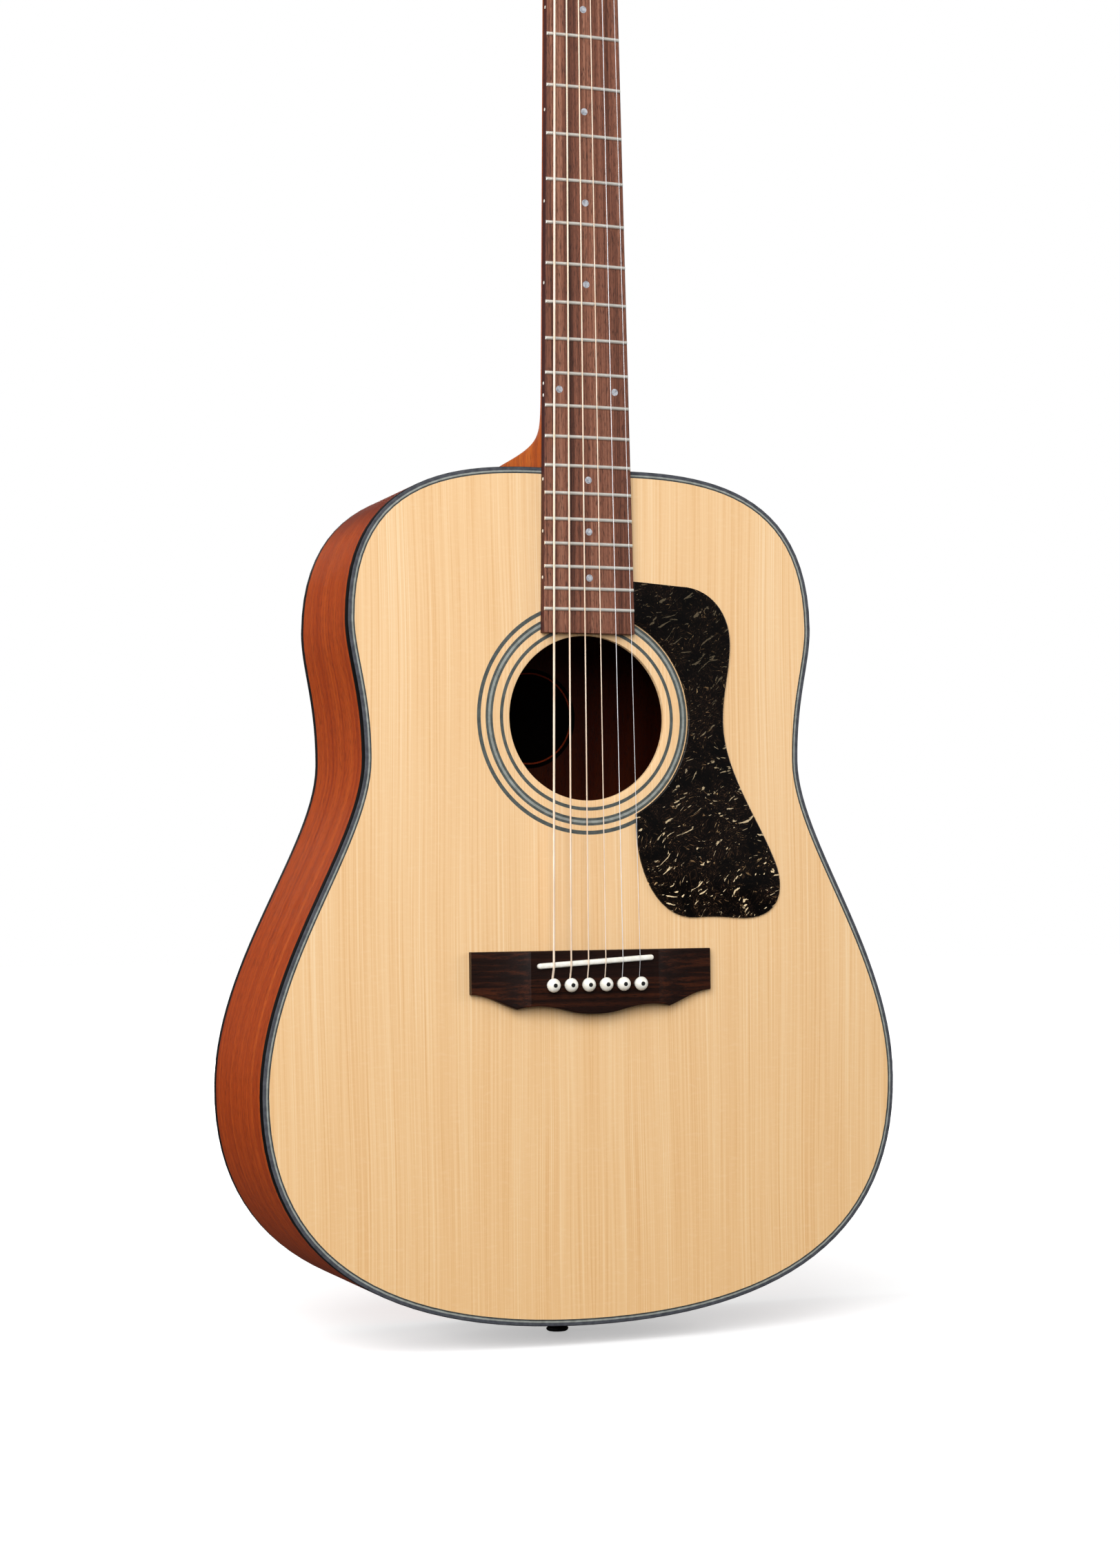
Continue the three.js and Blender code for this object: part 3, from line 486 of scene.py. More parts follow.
def evenly(start, end, count):
    """Values from one to another in equal steps, with both of them."""
    return [start + (end - start) * i / count for i in range(count + 1)]


def ring_faces(start, count, rings):
    """Quads between neighbouring rings of a stack whose points begin at start."""
    faces = []
    for r in range(rings - 1):
        a = start + r * count
        for i in range(count):
            j = (i + 1) % count
            faces.append((a + i, a + j, a + count + j, a + count + i))
    return faces


def solid(*stacks):
    """A closed surface. Each stack is a list of rings of points, from the front to the back. The first is the
    outside and any others are holes, and flat faces join the first rings of all, and the last."""
    points, faces, starts = [], [], []
    for rings in stacks:
        starts.append(len(points))
        faces += ring_faces(len(points), len(rings[0]), len(rings))
        for ring in rings:
            points += [Vector(p) for p in ring]
    for which in (0, -1):
        loops = [[Vector(p) for p in rings[which]] for rings in stacks]
        if max((p - loops[0][0]).length for p in loops[0]) < 1e-6:
            continue  # the ring is a single point
        index = []
        for rings, start in zip(stacks, starts):
            first = start + (0 if which == 0 else (len(rings) - 1) * len(rings[0]))
            index += range(first, first + len(rings[0]))
        faces += [tuple(index[i] for i in triangle) for triangle in tessellate_polygon(loops)]
    return points, faces


def mesh_from(name, shape, local=STILL):
    points, faces = shape
    mesh = bpy.data.meshes.new(name)
    mesh.from_pydata([spot(*(local @ p)) for p in points], [], faces)
    made = bmesh.new()
    made.from_mesh(mesh)
    bmesh.ops.remove_doubles(made, verts=made.verts, dist=0.002 * MM)
    bmesh.ops.dissolve_degenerate(made, dist=0.001 * MM, edges=made.edges)
    bmesh.ops.recalc_face_normals(made, faces=made.faces)
    made.to_mesh(mesh)
    made.free()
    return mesh


def carve(made, shape, operation, local):
    """Cuts a shape out of a piece, or joins it on."""
    tool = bpy.data.objects.new("tool", mesh_from("tool", shape, local))
    scene.collection.objects.link(tool)
    modifier = made.modifiers.new("carve", "BOOLEAN")
    modifier.operation = operation
    modifier.object = tool
    modifier.solver = "EXACT"
    evaluated = made.evaluated_get(bpy.context.evaluated_depsgraph_get())
    before = made.data
    made.data = bpy.data.meshes.new_from_object(evaluated)
    made.data.name = before.name
    made.modifiers.clear()
    bpy.data.meshes.remove(before)
    bpy.data.meshes.remove(tool.data)


def piece(name, shape, look, node=None, body="guitar", local=STILL, joins=(), cuts=(), sharp=32):
    """A named piece that rides on a body, takes the place of a CAD node if one is named, and has other shapes
    joined to it or cut from it. Edges sharper than an angle in degrees stay sharp."""
    made = bpy.data.objects.new(name, mesh_from(name, shape, local))
    scene.collection.objects.link(made)
    for operation, shapes in (("UNION", joins), ("DIFFERENCE", cuts)):
        for other in shapes:
            carve(made, other, operation, local)
    made.data.shade_smooth()
    made.data.set_sharp_from_angle(angle=math.radians(sharp))
    made.data.materials.clear()
    made.data.materials.append(look.material)
    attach(made, body)
    if node:
        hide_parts(node)
    return made


def moved(shape, matrix):
    points, faces = shape
    return [matrix @ p for p in points], faces


def raised(loop, face, step=0.0):
    """The points of a loop at a depth, which is a number or a function of their height."""
    return [(x, (face(z) if callable(face) else face) + step, z) for x, z in loop]


def block(x0, x1, y0, y1, z0, z1):
    """A box between two corners, used to cut or join."""
    corners = [(x0, z0), (x0, z1), (x1, z1), (x1, z0)]
    return solid([raised(corners, y0), raised(corners, y1)])


def circle(radius, x=0.0, z=0.0, count=32, clockwise=True):
    angles = evenly(0, -2 * math.pi if clockwise else 2 * math.pi, count)[:-1]
    return [(x + radius * math.cos(a), z + radius * math.sin(a)) for a in angles]


def lathe(profile, x=0.0, z=0.0, count=32):
    """A turned shape about a line along y, from (radius, y) points."""
    return solid([raised(circle(max(r, 1e-7), x, z, count), y) for r, y in profile])


def rod(radius, y0, y1, x=0.0, z=0.0, count=32):
    return lathe([(radius, y0), (radius, y1)], x, z, count)


def drill(axis, radius, start, end, a, b, count=24):
    """A cylinder along x at (y, z), or along z at (x, y), used to cut."""
    ring = circle(radius, a, b, count)
    return solid([[(way, p, q) if axis == "x" else (p, q, way) for p, q in ring] for way in (start, end)])


def bezier(a, b, c, d, count):
    points = []
    for t in evenly(0, 1, count)[:-1]:
        weights = ((1 - t) ** 3, 3 * t * (1 - t) ** 2, 3 * t * t * (1 - t), t**3)
        points.append(tuple(sum(w * p[k] for w, p in zip(weights, (a, b, c, d))) for k in (0, 1)))
    return points


def chain(start, *legs, count=10):
    """Points of Bezier curves that follow one another. Each leg gives its two handles and its end,
    or its end alone for a straight line."""
    points = []
    for leg in legs:
        points += [start] if len(leg) == 1 else bezier(start, *leg, count)
        start = leg[-1]
    return points + [start]


def mirrored(half):
    """A closed loop from its treble half, which starts and ends on the centre line."""
    return half + [(-x, z) for x, z in half[-2:0:-1]]


def inset(loop, distance):
    """A clockwise loop moved inwards, or a counterclockwise one outwards, by a distance."""
    if not distance:
        return list(loop)
    shifted = []
    for i, (x, z) in enumerate(loop):
        x0, z0 = loop[i - 1]
        x1, z1 = loop[(i + 1) % len(loop)]
        length = math.hypot(x1 - x0, z1 - z0)
        shifted.append((x + (z1 - z0) / length * distance, z - (x1 - x0) / length * distance))
    return shifted


def round_corners(loop, radius, steps=4):
    """A loop of straight sides with each corner turned into an arc, drawn by its tangent points."""
    made = []
    for i, corner in enumerate(loop):
        here = Vector(corner)
        before = (Vector(loop[i - 1]) - here).normalized() * radius
        after = (Vector(loop[(i + 1) % len(loop)]) - here).normalized() * radius
        for t in evenly(0, 1, steps):
            made.append(tuple(here + before * (1 - t) ** 2 + after * t**2))
    return made


def wall(loop, front, back, front_edge=0.0, back_edge=0.0, steps=5):
    """The stack of rings of one loop from its front to its back, with rounded edges."""

    def edge(face, radius, way):
        turns = evenly(0, math.pi / 2, steps) if radius else [math.pi / 2]
        return [(face, radius * (1 - math.sin(a)), way * radius * (1 - math.cos(a))) for a in turns]

    rounds = edge(front, front_edge, 1) + edge(back, back_edge, -1)[::-1]
    return [raised(inset(loop, inwards), face, step) for face, inwards, step in rounds]


def plate(loop, front, back, holes=(), **edges):
    return solid(wall(loop, front, back, **edges), *[wall(hole, front, back) for hole in holes])


def band(outer, inner, front, back, **edges):
    """A closed strip between two loops, with the outer edges rounded."""
    rings = wall(outer, front, back, **edges) + [raised(inner, back), raised(inner, front)]
    points = [Vector(p) for ring in rings for p in ring]
    count = len(outer)
    last = (len(rings) - 1) * count
    closing = [(last + i, last + (i + 1) % count, (i + 1) % count, i) for i in range(count)]
    return points, ring_faces(0, count, len(rings)) + closing


def ring(inner, outer, front, back, z=0.0, count=128):
    """A flat ring about a line along y."""
    return band(circle(outer, 0, z, count), circle(inner, 0, z, count), front, back)


def between(points, x):
    """The value at x on a line through points listed with x rising."""
    for (x0, y0), (x1, y1) in zip(points, points[1:]):
        if x <= x1:
            return y0 + (y1 - y0) * (x - x0) / max(x1 - x0, 1e-9)
    return points[-1][1]


def smoothstep(t):
    t = min(max(t, 0.0), 1.0)
    return t * t * (3 - 2 * t)

# --- body


def treble_half(count=28):
    upper, waist, lower = UPPER_BOUT / 2, WAIST / 2, LOWER_BOUT / 2
    return chain(
        (0, BODY_LENGTH),
        ((48, BODY_LENGTH), (upper, UPPER_BOUT_Z + 102), (upper, UPPER_BOUT_Z)),
        ((upper, UPPER_BOUT_Z - 21), (waist, WAIST_Z + 39), (waist, WAIST_Z)),
        ((waist, WAIST_Z - 48), (lower, LOWER_BOUT_Z + 75), (lower, LOWER_BOUT_Z)),
        ((lower, LOWER_BOUT_Z - 100), (118, 0), (0, 0)),
        count=count,
    )


OUTLINE = mirrored(treble_half())
TENON_HALF, TENON_FRONT, TENON_BACK, TENON_LENGTH = 15, 16, 80, 18


def tenon(play, top_z):
    """The neck's tenon or, with some play, the mortise for it."""
    half = TENON_HALF + play
    return block(-half, half, TENON_FRONT - play, TENON_BACK + play, BODY_LENGTH - TENON_LENGTH - play, top_z)


def back_of(inwards):
    return lambda z: depth_at(z) - inwards


def make_soundboard():
    rabbet = SIDE + sum(PURFLING)
    floor = PURFLING_DEPTH + GAP
    edge = [(rabbet, 0), (rabbet, floor), (SIDE + GAP, floor), (SIDE + GAP, PLATE)]
    outside = [raised(inset(OUTLINE, inwards), y) for inwards, y in edge]
    profile = []
    for inner, outer in reversed(ROSETTE):
        profile += [(outer, 0), (outer, ROSETTE_DEPTH), (inner, ROSETTE_DEPTH), (inner, 0)]
    rim = 0.5  # rounding of the hole's edge
    profile += [(HOLE_RADIUS + rim, 0), (HOLE_RADIUS + 0.15, 0.15), (HOLE_RADIUS, rim), (HOLE_RADIUS, PLATE)]
    hole = [raised(circle(radius, 0, HOLE_Z, 128, False), y) for radius, y in profile]
    pin_loops = [circle(PIN_HOLE_RADIUS, shared_out(PIN_SPAN, n), PIN_Z, 20, False) for n in STRINGS]
    board = solid(outside, hole, *[wall(loop, 0, PLATE) for loop in pin_loops])
    piece("soundboard_face", board, SPRUCE, "soundboard")


def make_rosette():
    """Three rings let into the top: grey lines, the middle one with a pale strip between two grey ones."""
    slim = 0.02  # play of an inlay in its channel
    plain, striped = [(100, GREY_LINE)], [(33, GREY_LINE), (67, PALE_LINE), (100, GREY_LINE)]
    for i, (strips, (inner, outer)) in enumerate(zip((plain, striped, plain), ROSETTE), 1):
        start, across = inner + slim, outer - inner - 2 * slim
        before = 0.0
        for percent, look in strips:
            share = percent / 100
            shape = ring(start + across * before, start + across * share, 0, ROSETTE_DEPTH - slim, HOLE_Z)
            piece("rosette_%d_%d" % (i, percent), shape, look)
            before = share


def make_bindings():
    inner = inset(OUTLINE, SIDE)
    top = band(OUTLINE, inner, 0, BINDING_HEIGHT, front_edge=0.9)
    piece("binding_top", top, BINDING, "top_binding")
    back = band(OUTLINE, inner, back_of(BINDING_HEIGHT), back_of(0), back_edge=1.4)
    piece("binding_back", back, BINDING, "back_binding")
    start = SIDE
    for name, width, look in zip(("pale", "dark"), PURFLING, (PALE_LINE, DARK_LINE)):
        line = band(inset(OUTLINE, start), inset(OUTLINE, start + width), 0, PURFLING_DEPTH)
        piece("purfling_" + name, line, look)
        start += width


def make_back():
    shape = plate(inset(OUTLINE, SIDE + GAP), back_of(PLATE), back_of(0))
    piece("back_board", shape, BACK_WOOD, "back_plate")


def make_side(name, side, node):
    """One bent side, from the neck joint to the tail, with its grain running along the bend."""
    half = [(side * x, z) for x, z in treble_half(36)]
    for end in (0, -1):
        half[end] = (side * GAP / 2, half[end][1])
    front = BINDING_HEIGHT + GAP
    rings = []
    for i, (x, z) in enumerate(half):
        x0, z0 = half[max(i - 1, 0)]
        x1, z1 = half[min(i + 1, len(half) - 1)]
        length = math.hypot(x1 - x0, z1 - z0)
        inner_x = x if i in (0, len(half) - 1) else x + side * (z1 - z0) / length * SIDE
        inner_z = z - side * (x1 - x0) / length * SIDE
        inside = [(inner_x, depth_at(inner_z) - front, inner_z), (inner_x, front, inner_z)]
        rings.append([(x, front, z), (x, depth_at(z) - front, z)] + inside)
    mortise = tenon(FIT, BODY_LENGTH + 5)
    peg_hole = drill("z", PEG_RADIUS + FIT, -10, 50, 0, DEPTH_TAIL / 2)
    made = piece(name, solid(rings), SIDE_WOOD, node, cuts=[mortise, peg_hole])
    grain = made.data.attributes.new("grain", "FLOAT_VECTOR", "POINT")
    arc = [0.0]
    for before, here in zip(half, half[1:]):
        arc.append(arc[-1] + math.dist(before, here))
    places = [spot(x, 0, z) for x, z in half]
    for vertex, value in zip(made.data.vertices, grain.data):
        x, y, z = vertex.co
        near = min(range(len(places)), key=lambda i: (places[i].x - x) ** 2 + (places[i].z - z) ** 2)
        value.vector = (arc[near] * MM, y, side * MM)


def make_label():
    """A plain round paper label glued inside the back, under the sound hole, with a printed ring."""
    paper = plate(circle(LABEL_RADIUS, 0, LABEL_Z, 64), back_of(PLATE + 0.3), back_of(PLATE + 0.05))
    # The paper's near-black colour is painted shade.
    piece("paper_label", paper, PAPER_PAINTED_SHADE)
    printed = ring(27.6, 28.6, back_of(PLATE + 0.36), back_of(PLATE + 0.31), LABEL_Z, 64)
    piece("paper_label_ring", printed, LABEL_RING)

# --- bridge and pickguard


def stadium(length, width, count=10):
    """A clockwise loop with round ends, centred on the origin."""
    end = width / 2
    reach = length / 2 - end
    loop = []
    for side, start in ((1, math.pi / 2), (-1, -math.pi / 2)):
        angles = evenly(start, start - math.pi, count)
        loop += [(side * reach + end * math.cos(a), end * math.sin(a)) for a in angles]
    return loop


def make_bridge():
    top, tip = -BRIDGE_HEIGHT, -4.2  # the face of the middle, and of the thin ends of the wings
    lower = chain(
        (0, 181.4),
        ((5, 181.4), (10, 181.7), (15, 183)),
        ((26, 186), (36, 188), (47.8, 185)),
        ((58, 188.5), (65, 193.5), (BRIDGE_HALF, 194)),
        count=14,
    )
    wing = ((48, top + 2.6), (60, tip - 0.3), (BRIDGE_HALF + 1, tip))
    upper = chain((0, top), ((40, top),), wing, count=16)
    stations = {round(x, 4) for x, _ in lower} | {round(x, 4) for x, _ in upper if x < BRIDGE_HALF}
    rounding = 1.0
    turns = evenly(0, math.pi / 2, 8)
    corner = [(rounding * (1 - math.cos(a)), rounding * (1 - math.sin(a))) for a in turns]
    rings = []
    for x in sorted(stations | {-x for x in stations}):
        low, crown = between(lower, abs(x)), between(upper, abs(x))
        section = [(x, -GAP, low)] + [(x, crown + dy, low + dz) for dz, dy in corner]
        section += [(x, crown + dy, BRIDGE_TOP_Z - dz) for dz, dy in reversed(corner)]
        rings.append(section + [(x, -GAP, BRIDGE_TOP_Z)])
    slot = plate(stadium(SADDLE_LENGTH + 2 * GAP, SADDLE_WIDTH + 2 * GAP), -20, -SADDLE_FOOT)
    countersink = [(PIN_HOLE_RADIUS + 1, top - 0.5), (PIN_HOLE_RADIUS - 0.2, top + 0.7)]
    places = [(shared_out(PIN_SPAN, n), PIN_Z, 24) for n in STRINGS]
    cuts = [moved(slot, SADDLE_FRAME)] + [rod(PIN_HOLE_RADIUS, -20, 5, *place) for place in places]
    cuts += [lathe(countersink, *place) for place in places]
    piece("bridge_body", solid(rings), BRIDGE_WOOD, "bridge", cuts=cuts, sharp=14)
    bar = plate(stadium(SADDLE_LENGTH, SADDLE_WIDTH), top - SADDLE_RISE, -SADDLE_FOOT - GAP, front_edge=1.3)
    piece("saddle_bone", bar, BONE, "saddle", local=SADDLE_FRAME)


def make_pins():
    """Each pin is drawn in its own frame, with y = 0 where its head begins."""
    head = [(0.0, -4.4), (0.9, -4.33), (1.8, -4.1), (2.6, -3.7), (3.3, -3.05), (3.85, -2.2), (4.1, -1.4)]
    head += [(4.05, -0.75), (3.75, -0.3), (3.1, -0.05), (2.75, 0.1), (2.7, 0.6)]
    tail = [(2.65, 8.4), (2.2, 24.4), (1.5, 25.9), (0.0, 26.4)]
    dot = [(0.0, -4.4), (0.8, -4.37), (1.2, -4.28), (1.25, -3.9), (0.0, -3.8)]
    groove = block(-0.95, 0.95, GAP, 41, 1.05, 6)
    socket = rod(1.27, -6, -3.78)
    for n in STRINGS:
        local = Matrix.Translation((shared_out(PIN_SPAN, n), PIN_SEAT, PIN_Z))
        pin = lathe(head + tail, count=36)
        body = "pin_%d" % n
        piece(body + "_bone", pin, BONE, "bridge_pin_%d" % n, body, local, cuts=[groove, socket])
        piece(body + "_dot", lathe(dot, count=24), BLACK, None, body, local)


def make_pickguard():
    """The outline is given by its distance to the treble side, and its drop below the neck joint's fret."""
    left, round_hole = 29.8, 64
    up = math.acos(left / round_hole)
    hole_drop = JOINT_FRET_Z - HOLE_Z
    arc = [(round_hole * math.cos(a), hole_drop - round_hole * math.sin(a)) for a in evenly(-up, up, 40)]
    outer = chain(
        (left, 66.5),
        ((60, 68.7),),
        ((80, 68.7), (92, 84), (92, 102)),
        ((92, 118), (86.5, 132), (86.8, 150)),
        ((87, 178), (108, 206), (118, 229)),
        ((128, 249), (123, 267), (100, 267)),
        ((90, 267), (82, 265), (68.5, 266.2)),
        ((44, 268), (28.5, 240), arc[0]),
        count=14,
    )
    loop = [(x, JOINT_FRET_Z - drop) for x, drop in outer[:-1] + arc]
    piece("pickguard_sheet", plate(loop, -1.5 - GAP, -GAP, front_edge=0.75), TORTOISE, "pickguard")

# --- neck, fretboard and nut

NECK_START = BODY_LENGTH + 0.4
HEEL_DEPTH = 92.5
CAP_THICK = 2.5
SHAFT_DEPTH, SHAFT_TAPER = 17.5, 2.5
SWEEP_DEPTH, SWEEP_HEIGHT, SWEEP_FALL, SWEEP_MOST = 410, 8.3, 3.5, 130  # how the shaft grows into the heel
SHAFT_ROUND, HEEL_ROUND, TURN_ROUND, HEAD_ROUND = 1.05, 0.34, 0.4, 0.1  # 1 is an ellipse, less is squarer
HEAD_PROFILE = sorted(
    (u, half)
    for half, u in chain(
        (NUT_WIDTH / 2, 0),
        ((22.5, 12), (33, 12), (34.5, 27)),
        ((38, 168),),
        ((38, 178), (20, HEAD_LENGTH), (0, HEAD_LENGTH)),
        count=16,
    )
)  # half the head's width at heights up it


def machines():
    """(number, side, x, z) of each machine in the head's frame."""
    rows = [(1, 1, 0), (2, 1, 1), (3, 1, 2), (4, -1, 2), (5, -1, 1), (6, -1, 0)]
    return [(n, side, side * POST_X[row], POST_HEIGHTS[row]) for n, side, row in rows]


def neck_depth(z):
    up = z - BODY_LENGTH
    shaft = SHAFT_DEPTH - SHAFT_TAPER * up / (NUT_Z - BODY_LENGTH)
    sweep = SWEEP_DEPTH / (1 + (up / SWEEP_HEIGHT) ** SWEEP_FALL)
    return min(shaft + sweep, SWEEP_MOST)


def neck_round(z):
    share = (neck_depth(z) - SHAFT_DEPTH) / (HEEL_DEPTH + CAP_THICK - SHAFT_DEPTH)
    return SHAFT_ROUND + (HEEL_ROUND - SHAFT_ROUND) * min(max(share, 0.0), 1.0)


def half_section(half, depth, power, steps=36):
    """The neck's section: flat in front and rounded behind, in the plane of x and y."""
    points = []
    for a in evenly(0, math.pi, steps):
        x = math.copysign(abs(math.cos(a)) ** power, math.cos(a))
        points.append((-half * x, depth * max(math.sin(a), 0.0) ** power))
    return points


def make_neck():
    """A stack of sections: the heel and shaft, the turn into the head behind the nut, and the head."""
    rings = []
    heights = [0.4, 4, 7] + [8 + 0.5 * i for i in range(50)]
    heights += [34, 37, 41, 46, 52, 60, 72, 90, 120, 170, 230, 290]
    turn_length = 32
    turn_depth = 12.97  # where the turn's back meets the head's
    turn_start = NUT_Z - turn_length
    for z in [BODY_LENGTH + up for up in heights] + [turn_start]:
        section = half_section(board_width(z) / 2, neck_depth(z), neck_round(z))
        rings.append([(x, min(y, HEEL_DEPTH), z) for x, y in section])
    for t in evenly(0, 1, 14)[1:]:
        z = turn_start + (turn_length + NUT_THICK) * t
        share = smoothstep(t)
        depth = neck_depth(z) * (1 - share) + turn_depth * share
        half = min(board_width(z), NUT_WIDTH) / 2 if z > NUT_Z else board_width(z) / 2
        section = half_section(half, depth, SHAFT_ROUND + (TURN_ROUND - SHAFT_ROUND) * share)
        tilt = HEAD_TILT * share
        rings.append([(x, y * math.cos(tilt), z - y * math.sin(tilt)) for x, y in section])
    shoulder = 168  # where the head's top begins to round
    heights = [0, 2, 4, 6, 8, 10, 12, 14, 16, 19, 22, 25, 27, 60, 110, 160, shoulder]
    rounds = evenly(0, math.pi / 2, 14)[1:-1]
    heights += [shoulder + (HEAD_LENGTH - shoulder) * math.sin(a) for a in rounds] + [HEAD_LENGTH - 0.004]
    for u in heights:
        power = TURN_ROUND + (HEAD_ROUND - TURN_ROUND) * smoothstep(u / 26)
        section = half_section(between(HEAD_PROFILE, u), HEAD_THICK, power)
        rings.append([tuple(HEAD @ Vector((x, y, u))) for x, y in section])
    channel = block(-3.1, 3.1, -5, 9.1, BODY_LENGTH - 4, NUT_Z - 4)
    bores = [moved(rod(BARREL_RADIUS + FIT, -5, 30, x, z), HEAD) for _, _, x, z in machines()]
    joins = [tenon(0, NECK_START + 2)]
    piece("neck_wood", solid(rings), NECK_WOOD, "neck", joins=joins, cuts=[channel] + bores)


def make_heel_cap():
    """The cap follows the heel's section where it is cut off."""
    end = NECK_START
    while neck_depth(end) > HEEL_DEPTH + GAP:
        end += 0.02
    edge = []
    for a in evenly(0, math.pi / 2, 24):
        z = NECK_START + (end - NECK_START) * math.sin(a)
        share, power = min((HEEL_DEPTH + GAP) / neck_depth(z), 1.0), neck_round(z)
        edge.append((board_width(z) / 2 * (1 - share ** (2 / power)) ** (power / 2), z))
    loop = edge[::-1] + [(-x, z) for x, z in edge[:-1]]
    shape = plate(loop, HEEL_DEPTH + GAP, HEEL_DEPTH + CAP_THICK, back_edge=0.7)
    piece("heel_cap_plate", shape, BLACK, "heel_cap")


def crown_y(x, z):
    """Height of the cambered face of the board."""
    return -BOARD + BOARD_CAMBER * (2 * x / board_width(z)) ** 2


def make_fretboard():
    rings = []
    round_off = 0.35
    for z, trim in ((BOARD_END_Z, 0.25), (BOARD_END_Z + 0.25, 0), (NUT_Z - GAP, 0)):
        half = board_width(z) / 2 - trim
        corner = crown_y(half, z) + round_off + trim
        face = evenly(round_off - half, half - round_off, 24)
        section = [(-half, -GAP, z), (-half, corner, z)] + [(x, crown_y(x, z) + trim, z) for x in face]
        rings.append(section + [(half, corner, z), (half, -GAP, z)])
    piece("board_wood", solid(rings), BOARD_WOOD, "fretboard")


def make_frets():
    """Each fret is a rounded wire across the board, with short bevelled ends."""
    bevel, bevel_length = [(0.0, 0.45), (0.12, 0.8)], 0.25  # distance from the end, and share of the height
    for n in range(1, FRETS + 1):
        z = NUT_Z - fret_distance(n)
        half = board_width(z) / 2 - 0.25
        run = half - bevel_length
        ends = [(half - distance, share) for distance, share in bevel]
        spots = [(-x, share) for x, share in ends] + [(x, 1.0) for x in evenly(-run, run, 20)] + ends[::-1]
        rings = []
        for x, share in spots:
            wire = [(FRET_HEIGHT * share * math.sin(a) ** 0.8, math.cos(a)) for a in evenly(0, math.pi, 10)]
            rings.append([(x, crown_y(x, z) - 0.01 - rise, z - FRET_WIDTH / 2 * c) for rise, c in wire])
        piece("fret_%02d" % n, solid(rings), FRET_METAL)


def make_dots():
    """Pearl dots on the board's face, and small pale ones on its bass edge."""
    places = [(n, 0.0) for n in (3, 5, 7, 9, 15, 17, 19)] + [(12, -17.5), (12, 17.5)]
    proud = 0.05
    for i, (n, x) in enumerate(places, 1):
        z = NUT_Z - (fret_distance(n) + fret_distance(n - 1)) / 2
        rings = [
            [(px, crown_y(px, pz) - lift, pz) for px, pz in circle(radius, x, z, 28)]
            for radius, lift in ((1.9, proud), (2.1, 0.005))
        ]
        piece("face_dot_%d" % i, solid(rings), PEARL)
        if x > 0:
            continue
        side_z = z + (3.5 if n == 12 else 0)
        for shift in (0, -7) if n == 12 else (0,):
            edge = -board_width(side_z + shift) / 2
            rings = [
                [(edge - out, py, pz) for py, pz in circle(radius, -2.9, side_z + shift, 16)]
                for out, radius in ((proud, 0.85), (0.004, 1.0))
            ]
            piece("edge_dot_%d_%d" % (n, -shift), solid(rings), BONE)


def make_nut():
    half, top_z = NUT_WIDTH / 2, NUT_Z + NUT_THICK - GAP
    loop = [(-half, NUT_Z), (-half, top_z), (half, top_z), (half, NUT_Z)]
    shape = plate(round_corners(loop, 1.0), NUT_TOP - 0.5, -GAP, front_edge=0.8)
    low, high = NUT_Z - 2, NUT_Z + NUT_THICK + 2
    cuts = []
    for n in STRINGS:
        r = STRING_RADII[n - 1] + GAP
        x, floor = shared_out(NUT_SPAN, n), NUT_TOP - r
        cuts += [drill("z", r, low, high, x, floor, 16), block(x - r, x + r, NUT_TOP - 4, floor, low, high)]
    piece("nut_bone", shape, BONE, "nut", cuts=cuts)

# --- head and tuning machines, each drawn in its own frame on the head

GEAR_RADIUS, GEAR_LOW, GEAR_HIGH = 6, 17.5, 22.5
WORM_RADIUS, WORM_Y, WORM_DROP = 2.3, 20, 8.6
CASE_INNER, CASE_OUTER, CASE_LOW, CASE_HIGH, CASE_BACK = 9, 12, 13, 8.5, 25.6
STRING_HOLE_Y = -16
HEAD_BACK = HEAD_THICK + GAP
NUT_FACE = -HEADPLATE - GAP  # where the bushing's washer lies on the headplate


def make_headplate():
    treble = [(half, u) for u, half in reversed(HEAD_PROFILE)]
    treble[-1] = (NUT_WIDTH / 2, 0.3)
    loop = treble + [(-half, u) for half, u in reversed(treble)][:-1]
    holes = [circle(BARREL_RADIUS + FIT, x, z, 32, False) for _, _, x, z in machines()]
    shape = plate(loop, -HEADPLATE, -GAP, holes, front_edge=0.5)
    piece("headplate_veneer", shape, HEAD_WOOD, "headplate", local=HEAD)


